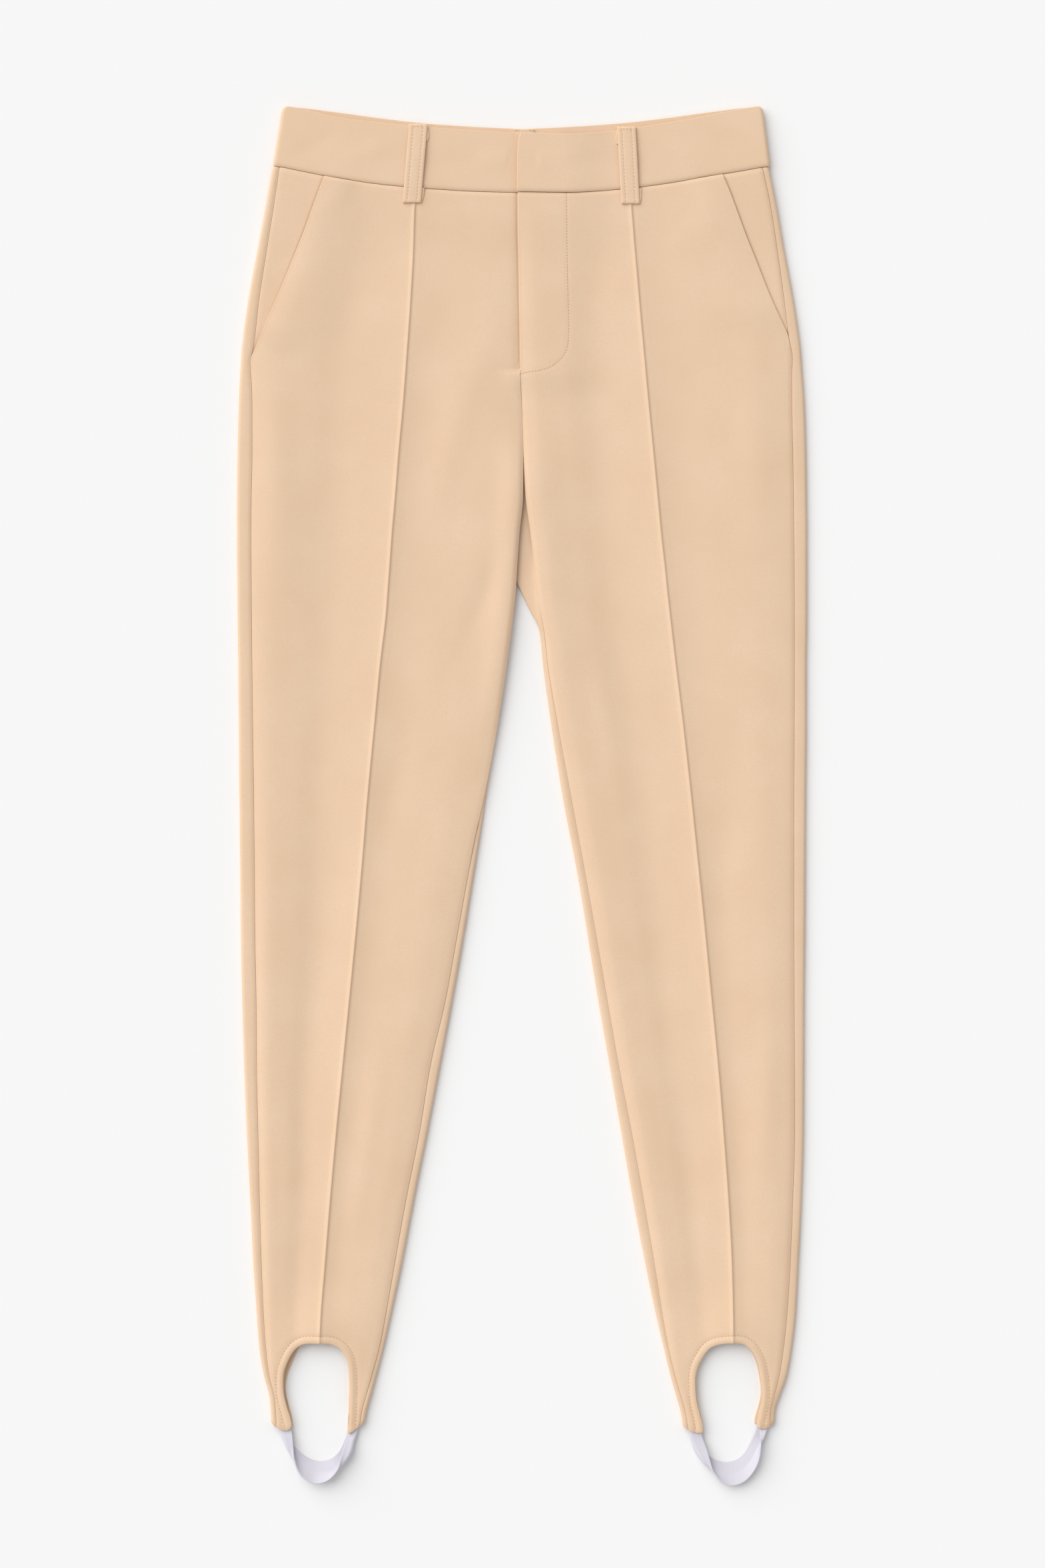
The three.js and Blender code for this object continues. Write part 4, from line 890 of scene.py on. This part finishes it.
# Small gathers where the tongues' ends are sewn to the elastic.
RIGHT["gathers"] = (
    (190.4, 1016.2, 30, 7, 0.7, -0.5), (186.2, 1018.2, 24, 8, 0.7, -0.5), (129.4, 1019.4, -50, 9, 0.7, -0.5),
)
LEFT["gathers"] = (
    (125.4, 1017.4, -20, 8, 0.7, -0.5), (133.6, 1019.6, -24, 10, 0.7, -0.5), (190.6, 1015.6, 40, 8, 0.7, -0.5),
)
# The fly's stitching, from the band down and round to the front edge.
FLY_STITCHING = table("out down", [
    (33.6, 67.3), (34, 95), (34.4, 121), (35, 150), (35.4, 170), (35.1, 179.3), (34.4, 185.8), (31.5, 192.2),
    (26.6, 197.7), (20.7, 201.5), (12, 204.2), (4.4, 205.3), (-2.6, 206.6),
])
# The leg's soft form across, from its edge on the side of -X to the tuck and on to the other edge: the cloth
# peaks along the tuck. FULLNESS: how much of it there is down the leg.
BEFORE_TUCK = table("share height", [(0, 0), (0.13, 1.9), (0.34, 0.8), (0.58, -1.3), (0.8, 0.2), (1, 2.4)])
AFTER_TUCK = table("share height", [
    (0, 2.4), (0.05, 1.45), (0.1, 0.95), (0.2, 0.6), (0.45, 1.5), (0.68, 2.1), (0.86, 1.35), (1, 0),
])
FULLNESS = table("down share", [
    (46, 0.15), (95, 0.45), (180, 0.7), (330, 1), (480, 0.85), (620, 1), (780, 0.9), (900, 0.7), (960, 0.45),
    (1007, 0.1),
])
FLY_LINE = smooth_line(np.stack([FLY_STITCHING["out"], FLY_STITCHING["down"]], 1), 260)
NEAR_FLY_LINE = (-6, 42, 60, 214)


def lap_rise(side, row, out, outer):
    """How far a front stands over what it laps: the pocket's side piece, and on the left the fly."""
    pocket = 1 - ease(0, 20 + 40 * ease(60, 110, row), outer - out - POCKET_FLAT)
    fly = 1 - ease(FLY_WIDTH, FLY_WIDTH + FLY_EASE, out) if side is LEFT else 0
    return LAP * np.maximum(pocket * lap_left(side, row), fly * (1 - ease(FLY_END, LAP_GONE, row)))


def front_columns(side, row):
    row = np.atleast_1d(np.asarray(row, float))[:, None]
    tuck = np.sort(at_row(side, "tuck", row) + side["sign"] * TUCK["across"], axis=1)
    inner = at_row(side, "edge", row) + FROM_FLY_EDGE
    outer = front_outer(side, row) - FROM_EDGE[::-1]
    within = inner[:, -1:] + (tuck[:, :1] - inner[:, -1:]) * INSIDE_TUCK
    beyond = tuck[:, -1:] + (outer[:, :1] - tuck[:, -1:]) * OUTSIDE_TUCK
    return np.hstack([inner, within, tuck, beyond, outer])


def front_surface(side, out, row):
    """The height of the front cloth's middle, and what its face adds to it: tuck, seams and faced hem."""
    end = front_outer(side, row)
    edge = at_row(side, "edge", row)
    down = row_down(side, row, out, "seam")
    calm = ease(BAND_TOP, CALM_TO, row) * (1 - ease(*CALM_FROM, row))
    off_seams = ease(0, SEAM_EASE, out - edge) * ease(0, SEAM_EASE, end - out)
    tuck = at_row(side, "tuck", row)
    to_inner, to_outer = (tuck - out) / (tuck - edge), (out - tuck) / (end - tuck)
    before, after = (to_inner, to_outer) if side is LEFT else (to_outer, to_inner)
    form = np.where(after < 0, read(BEFORE_TUCK, "height", 1 - before, "share"),
                    read(AFTER_TUCK, "height", after, "share"))
    form = form * read(FULLNESS, "share", row) * ease(0, EDGE_EASE, out - edge) * ease(0, EDGE_EASE, end - out)
    form = form + off_seams * creased(side["creases"], out, down)
    middle = front_height(row) + lap_rise(side, row, out, end) + calm * form
    swell = 1.05 * bump_at(5, 13, out - edge) if side is RIGHT else 0.75 * bump_at(0, 26, out - edge)
    middle = middle + crotch_swell(row) * (swell - 0.3 * bump_at(0, 1.6, out - edge))
    if side is RIGHT:
        beside_fly = bump_at(*BESIDE_FLY, out) * (1 - ease(FLY_END - 6, FLY_END + 10, row))
        below_fly = ease(FLY_END - 1, FLY_END + 3, row) - ease(FLY_END, LAP_GONE, row)
        pressed = PRESSED * bump_at(0.5, 0.8, out + read(LEFT["leg"], "edge", row)) * (row < FLY_END)
        middle = middle - FLY_DIP * beside_fly - pressed + LAP * np.maximum(below_fly, 0) * bump_at(0, 11, out - edge)
    across = side["sign"] * (out - tuck)
    inside = (across > TUCK["across"][0]) & (across < TUCK["across"][-1])
    ridge = np.where(inside, read(TUCK, "height", across, "across"), 0)
    arch_top = bump_at(ARCH_MIDDLE[0], LIFT_BREADTH, out) * ease(*LIFT_STARTS, row) * (1 - ease(*LIFT_ENDS, row))
    middle = middle + ARCH_LIFT * arch_top
    ridge = ridge + creased(side["gathers"], out, down)
    away = from_arch(side, out, down, for_back=False)
    hem = 0.5 * bump_at(2.6, 1.8, away) - 0.35 * bump_at(FACING, 1.0, away)
    ridge = ridge * ease(TUCK_START, TUCK_START + TUCK_EASE, row) * (0.55 + 0.45 * ease(4, 9, away))
    seams = seam_dip(out - edge) * ease(FLY_END, LAP_GONE, row) + WAIST_DIP * seam_dip(row - BAND_TOP)
    foot = side["opening"]["down"][-1]
    seams = seams + side["front_sink"] * seam_dip(end - out) * ease(foot, foot + 6, row)
    if side is LEFT:
        seams = seams - FLY_GROOVE * bump_at(0, 1.1, from_line(FLY_LINE, out, down, NEAR_FLY_LINE))
    return down, middle, ridge + hem + seams


def front_panel(side):
    tuck_from = len(FROM_FLY_EDGE) + len(INSIDE_TUCK)
    tuck = range(tuck_from, tuck_from + len(TUCK["across"]))
    last = tuck[-1] + len(OUTSIDE_TUCK) + len(FROM_EDGE) - 4
    wide, row, quads = leg_net(
        side, lambda r: front_columns(side, r), lambda w, r: w, 4, last, for_back=False, kept=tuck)
    down, middle, face = front_surface(side, wide, row)
    outside = place(side, wide, down, middle + CLOTH / 2 + face)
    inside = place(side, wide, down, middle - CLOTH / 2)
    opening = (wide > at_row(side, "tuck", row)) & (row < side["opening"]["down"][-1])
    fly = (wide < FLY_WIDTH) & (row < FLY_END) & (side is LEFT)
    folded = opening | fly | (from_arch(side, wide, down, for_back=False) < HEM_REACH)
    turn = np.where(folded & (row > BAND_TOP), HEM_TURN, SEAM_TURN)
    at_inseam = wide - at_row(side, "edge", row) < INSEAM_REACH
    reach = np.where(at_inseam & (side is LEFT), CLOSED_PRESS, SEAM_PRESS)
    return cloth_wall(f"{side['name']}_front_panel", outside, inside, quads, SUITING, turn, reach)


# Topstitches of this kind are about 2.4 mm long in 0.3 mm thread. They are drawn in thicker thread and mostly 2.7 mm
# apart, so that they show.
STITCH_PITCH = 2.7
STITCH_LENGTH = 1.7
FLY_STITCH = {"length": 1.6, "thick": 0.5, "pitch": 2.35}
STITCH_THICK = 0.44
SUNK = 0.32
ON_FACE = 0.1
TUCK_SEWN_FROM = 78
TONGUE_CLEAR = 2.5
TUCK_STITCH_THICK = 0.34
# A stitch from end to end: how far along, how thick, and how far it sinks into the cloth.
STITCH = table("along thick sink", [(-1, 0.3, 0.6), (-0.75, 0.9, 0.25), (0, 1, 0), (0.75, 0.9, 0.25), (1, 0.3, 0.6)])


def sewing_thread():
    """Core-spun polyester thread, a shade darker than the cloth so that its stitches show as fine dashes."""
    material, at = new_material("core_spun_sewing_thread")
    twist = noise(material, at, 2600, 1)
    colour = mixed(material, twist, "#c39a74", "#d3ae8a")
    look = {"Roughness": 0.65, "Specular IOR Level": 0.3}
    return finish_material(material, look, twist, strength=0.4, depth=0.1, colour=colour)


def stitches(name, lines, length=STITCH_LENGTH, thick=STITCH_THICK, pitch=STITCH_PITCH):
    """Rows of stitches along lines of points in metres, as one piece."""
    points, faces, count = [], [], 0
    turn = np.arange(6) * math.pi / 3
    for line in lines:
        at = along_line(line)
        middles = np.arange(pitch / 2 * MM, at[-1], pitch * MM)
        where = lambda t: np.stack([np.interp(t, at, line[:, k]) for k in range(3)], -1)
        ahead = unit(where(middles + length / 2 * MM) - where(middles - length / 2 * MM))
        aside = unit(np.cross(ahead, (0, 0, 1)))
        up = np.cross(aside, ahead)
        for k, (share, width, sink) in enumerate(zip(STITCH["along"], STITCH["thick"], STITCH["sink"])):
            ring = (aside[:, None] * np.cos(turn)[None, :, None] + up[:, None] * np.sin(turn)[None, :, None])
            middle = where(middles) + ahead * share * length / 2 * MM - up * sink * thick / 2 * MM
            points.append(middle[:, None] + ring * width * thick / 2 * MM)
        many, rings = len(middles), len(STITCH["along"])
        ids = count + np.arange(rings * many * 6).reshape(rings, many, 6)
        for a, b in zip(ids, ids[1:]):
            faces.append(np.stack([a, np.roll(a, -1, 1), np.roll(b, -1, 1), b], -1).reshape(-1, 4))
        for cap in (ids[0, :, ::-1], ids[-1]):
            faces.append(cap[:, [0, 1, 2, 3]])
            faces.append(cap[:, [3, 4, 5, 0]])
        count += rings * many * 6
    return new_object(name, np.concatenate([p.reshape(-1, 3) for p in points]), np.vstack(faces), THREAD)


def front_face(side, out, down):
    """Points on the face of the front at the given places."""
    start = at_waist(side, "seam", out) + SEAM - BAND_TOP
    row = down
    for _ in range(20):
        row = down - start * (1 - ease(BAND_TOP, STRAIGHT_FROM, row))
    _, middle, face = front_surface(side, out, row)
    return place(side, out, down, middle + CLOTH / 2 + face + ON_FACE)


def front_stitches(side):
    """The tuck's sewing along its foot, the hem's topstitching, and on the left the fly's."""
    arch = arch_of(side, for_back=False)
    ahead = np.gradient(arch, axis=0)
    outwards = unit(np.stack([-ahead[:, 1], ahead[:, 0]], 1))
    outwards *= np.sign(((arch - ARCH_MIDDLE) * outwards).sum(1, keepdims=True))
    hem = arch + FACING * outwards
    tuck_down = np.arange(TUCK_SEWN_FROM, float(hem[:, 1].min()) - 1, 1.0)
    tuck_out = at_row(side, "tuck", tuck_down) + side["sign"] * TUCK["across"][1]
    hem = hem[hem[:, 1] < tongue_end(side, hem[:, 0]) - TONGUE_CLEAR]
    hem_line = front_face(side, hem[:, 0], hem[:, 1])
    sunk = front_face(side, tuck_out, tuck_down) - (0, 0, SUNK * MM)
    sewing = [stitches(f"{side['name']}_hem_stitching", [hem_line]),
              stitches(f"{side['name']}_tuck_stitching", [sunk], STITCH_LENGTH, TUCK_STITCH_THICK)]
    if side is LEFT:
        fly_line = front_face(side, FLY_LINE[:, 0], FLY_LINE[:, 1])
        sewing.append(stitches("left_fly_stitching", [fly_line], **FLY_STITCH))
    return sewing


THREAD = sewing_thread()
for side in SIDES:
    sewing = front_stitches(side)
    fit(front_panel(side), f"{side['name']}_front", "suiting",
        flat=(0.222, 0.980), area=0.150, held="laid", with_pieces=sewing,
        rests_on=[f"{side['name']}_back_panel", f"{side['name']}_pocket_side_piece"])

# ---- Waistband ----
# Two curved bands of doubled suiting on interfacing, 46 mm deep, joined at the centre back. They fold round the
# sides, and the left one laps the right one at the front, over a hidden hook.
BAND = 2.2
BAND_DEPTH = 46
BAND_TURN = 0.8
BAND_LAP = 2.5
UNDERLAP_DROP = 2.2
# share: from the band's top to its seam. The sides lean out; lap: the left band's lapped end.
BAND_ROWS = table("share right left lap", [
    (0, 183, 183, -1), (0.05, 185.2, 185.2, -2.4), (0.33, 187.6, 187.2, -4.1), (0.66, 190.2, 189.2, -4.3),
    (1, 192.8, 191.2, -4.4),
])
BAND_SHARES = np.concatenate([
    [0, 0.012, 0.025, 0.05, 0.08, 0.12], np.linspace(0.18, 0.88, 13), [0.93, 0.965, 0.985, 1]])
BAND_CREASES = (
    (18, 42, 86, 60, 7, 0.35), (60, 44, 92, 70, 8, -0.35), (120, 36, 70, 80, 8, 0.4), (160, 30, 60, 60, 7, -0.3),
)


def waistband(side):
    share = BAND_SHARES[:, None]
    radius = (FRONT_WAIST - BACK_WAIST) / 2
    fold = read(BAND_ROWS, side["name"], share, "share") - radius - BAND / 2
    end = read(BAND_ROWS, "lap", share, "share") if side is LEFT else np.full_like(share, -FLY_SHIELD)
    turn = np.linspace(0, math.pi, 13)[1:-1]
    front = end + (fold - end) * np.concatenate([[0, 0.004, 0.009], np.linspace(0.016, 1, 104)])
    back = fold + (SEAM / 2 - fold) * np.concatenate([np.linspace(0, 0.985, 80), [0.992, 0.997, 1]])
    bend = fold + radius * np.sin(turn)
    out = np.hstack([front, bend, back])
    angle = np.concatenate([np.zeros(front.shape[1]), turn, np.full(back.shape[1], math.pi)])[None]
    is_front = angle < math.pi - 1e-6
    lapping = BAND_LAP * (1 - ease(FLY_WIDTH, FLY_WIDTH + FLY_EASE, out))
    raised = lapping if side is LEFT else -FLY_DIP * bump_at(*BESIDE_FLY, out)
    height = BACK_WAIST + radius * (1 + np.cos(angle)) + np.where(is_front, raised, 0)
    drop = UNDERLAP_DROP * ease(0, 6, -out) if side is RIGHT else 0
    top = np.where(is_front, at_waist(side, "front", out), at_waist(side, "back", out)) + drop
    seam = np.where(is_front, at_waist(side, "seam", out), at_waist(side, "back_seam", out))
    down = top + (seam - top) * share
    calm = ease(0, 6, down - top) * ease(0, 6, seam - down) * ease(0, 10, fold - out) * (is_front & (out > 12))
    height = height + calm * creased(BAND_CREASES, out, down)
    face_out, face_up = np.sin(angle), np.cos(angle)
    sew = WAIST_DIP * seam_dip((1 - share) * BAND_DEPTH)
    outside = place(side, out + face_out * (BAND / 2 + sew), down, height + face_up * (BAND / 2 + sew))
    inside = place(side, out - face_out * BAND / 2, down, height - face_up * BAND / 2)
    return cloth_grid(f"{side['name']}_waistband_piece", outside, inside, SUITING, BAND_TURN)


for side in SIDES:
    fit(waistband(side), f"{side['name']}_waistband", "suiting",
        flat=(0.421 if side is RIGHT else 0.395, 0.046), held="laid",
        rests_on=[f"{side['name']}_front_panel", f"{side['name']}_back_loop_strip"])

# ---- Belt loops ----
# Strips of suiting folded to 14 mm, twin-stitched, with both ends turned under and bar-tacked: two in front
# above the pintucks, two at the side backs and one at the centre back.
LOOP_WIDTH = 14.3
LOOP_STAND = 1.2
FRONT_LOOP_HANG = 12
BACK_LOOP_HANG = 9
BACK_LOOP_OUT = 95
BACK_LOOP_DROP = 1.5
# How far out each front loop's top and foot are, and to which side its two turned ends show.
RIGHT |= {"loop": (80.2, 85.3), "slivers": (1, 1)}
LEFT |= {"loop": (80.1, 83.2), "slivers": (-1, 1)}
LOOP_STITCH = 1.2
LOOP_STITCH_THICK = 0.38
LOOP_ACROSS = table("across height", [
    (-1, -0.1), (-0.93, 0.02), (-0.75, 0.08), (-0.58, 0), (-0.52, -0.12), (-0.46, 0), (-0.25, 0.08), (0, 0.1),
    (0.25, 0.08), (0.46, 0), (0.52, -0.12), (0.58, 0), (0.75, 0.08), (0.93, 0.02), (1, -0.1),
])
# The columns of its two rows of stitches.
GROOVES = (4, 10)
PATH_STEPS = 6
LOOP_TACK = 32
LOOP_FOOT = 11 * PATH_STEPS
LOOP_DROP = 0.55
BACK_LOOP_ROWS = 41
LOOP_CLOTH = 1.1
LOOP_TURN = 0.4
SLIVER = 1.8
# A front loop from the turned end under its top, over the top, down the band and round its foot to the turned
# end under it. near: measured from the top (0) or the foot (1); height above the cloth that it lies on.
LOOP_PATH = table("near down height", [
    (0, 13.2, 0.6), (0, 9, 0.6), (0, 4, 0.6), (0, 1.1, 0.65), (0, 0.2, 1.2), (0, 1.1, 1.72), (0, 5, 1.75),
    (0, 24, 2.3), (1, -22, 1.95), (1, -12, 1.85), (1, -5, 1.8), (1, -1.1, 1.75), (1, -0.2, 1.2), (1, -1.1, 0.65),
    (1, -5, 0.6), (1, -11.6, 0.6),
])


def front_loop(side):
    top_out, foot_out = side["loop"]
    top = at_waist(side, "front", top_out) - LOOP_STAND
    foot = at_waist(side, "seam", foot_out) + FRONT_LOOP_HANG
    near, count = LOOP_PATH["near"], len(LOOP_PATH["near"])
    down = np.where(near > 0, foot, top) + LOOP_PATH["down"]
    order = np.arange(count)
    turned = np.interp(order, (0, 1, 2, 3), (0.6, 1, 0.4, 0)) * side["slivers"][0]
    turned = turned + np.interp(order, count - np.array((4, 3, 2, 1)), (0, 0.35, 0.9, 1)) * side["slivers"][1]
    out = top_out + (foot_out - top_out) * (down - top) / (foot - top) + side["sign"] * SLIVER * turned
    panel = FRONT_WAIST + BAND / 2 - LOOP_DROP * ease(foot - 16, foot - 8, down)
    path = smooth_line(np.stack([out, down, panel + LOOP_PATH["height"]], 1), (count - 1) * PATH_STEPS + 1)
    wide = path[:, :1] + LOOP_ACROSS["across"] * LOOP_WIDTH / 2
    middle = place(side, wide, path[:, 1:2], path[:, 2:])
    outside, inside = offset_grid(middle, LOOP_CLOTH * MM)
    if outside[len(path) // 2, 0, 2] < inside[len(path) // 2, 0, 2]:
        outside, inside = inside, outside
    outside[..., 2] += LOOP_ACROSS["height"] * MM
    piece = cloth_grid(f"{side['name']}_front_loop_strip", outside, inside, SUITING, LOOP_TURN)
    first, last = GROOVES
    rows = [outside[LOOP_TACK:LOOP_FOOT + 1, groove] + (0, 0, ON_FACE * MM) for groove in GROOVES]
    across = outside[LOOP_TACK, first:last + 1] + (0, 0, 0.12 * MM)
    sewing = stitches(f"{side['name']}_front_loop_stitching", [*rows, across], LOOP_STITCH, LOOP_STITCH_THICK)
    return piece, sewing


def back_loop(name, side, at):
    height = (BACK_WAIST - BAND / 2 - SEAM) / 2
    top = at_waist(side, "back", at) + BACK_LOOP_DROP
    foot = at_waist(side, "back_seam", at) + BACK_LOOP_HANG
    out = at + LOOP_ACROSS["across"] * LOOP_WIDTH / 2
    down = top + (foot - top) * np.linspace(0, 1, BACK_LOOP_ROWS)[:, None]
    return laid(name, side, out, down, height, 2 * height, SUITING, LOOP_ACROSS["height"], LOOP_TURN)


for side in SIDES:
    piece, sewing = front_loop(side)
    fit(piece, f"{side['name']}_front_loop", "suiting", flat=(0.0143, 0.089), held="folded", with_pieces=[sewing],
        rests_on=[f"{side['name']}_waistband_piece", f"{side['name']}_front_panel"])

back_loops = [(f"{side['name']}_back_loop", side, BACK_LOOP_OUT) for side in SIDES] + [("centre_back_loop", LEFT, 0)]
for node, side, at in back_loops:
    fit(back_loop(f"{node}_strip", side, at), node, "suiting",
        flat=(0.0143, 0.055), held="laid", rests_on=["paper"])

# ---- Waist tag ----
# A small blank tag of woven tape in the cloth's colour, sewn inside the back band at the centre. Each of its top
# corners is held by a few stitches.
TAG = 0.45
TAG_WIDTH = 16
TAG_DEPTH = 12
TAG_OUT = 1.3
TAG_BELOW = 0.4
TAG_TURN = 0.2
TAG_PITCH = 0.6
TAG_STITCH = 1.3


def tag_tape():
    """Woven polyester tape: a dense plain weave with a soft gloss. Its threads, 0.2 mm apart, are drawn 0.6 mm
    apart."""
    material, at = new_material("plain_woven_tag_tape")
    threads = weave(material, at, TAG_PITCH)
    colour = mixed(material, threads, "#dcbd9c", "#ead0b2")
    look = {"Roughness": 0.6, "Specular IOR Level": 0.35}
    return finish_material(material, look, threads, strength=0.3, depth=0.04, colour=colour)


def waist_tag():
    top = LEFT["waist"]["back"][0]
    height = BACK_WAIST + BAND / 2 + SEAM + TAG / 2
    out = TAG_OUT + TAG_WIDTH / 2 * np.linspace(-1, 1, 17)[None]
    down = top + TAG_BELOW + TAG_DEPTH * np.linspace(0, 1, 13)[:, None]
    piece = laid("blank_waist_tag", LEFT, out, down, height, TAG, tag_tape(), turn=TAG_TURN)
    corners = []
    for end in (-1, 1):
        across = TAG_OUT + end * (TAG_WIDTH / 2 - np.linspace(0.3, 4.2, 5))
        corners.append(place(LEFT, across, top + 1.2 + 0.5 * np.sin(across * 2), height + TAG / 2 + ON_FACE))
    return piece, stitches("waist_tag_stitching", corners, TAG_STITCH, STITCH_THICK, TAG_STITCH + 0.2)


piece, sewing = waist_tag()
fit(piece, "waist_tag", "tag_tape",
    flat=(0.016, 0.012), held="laid", with_pieces=[sewing], rests_on=["left_waistband_piece"])
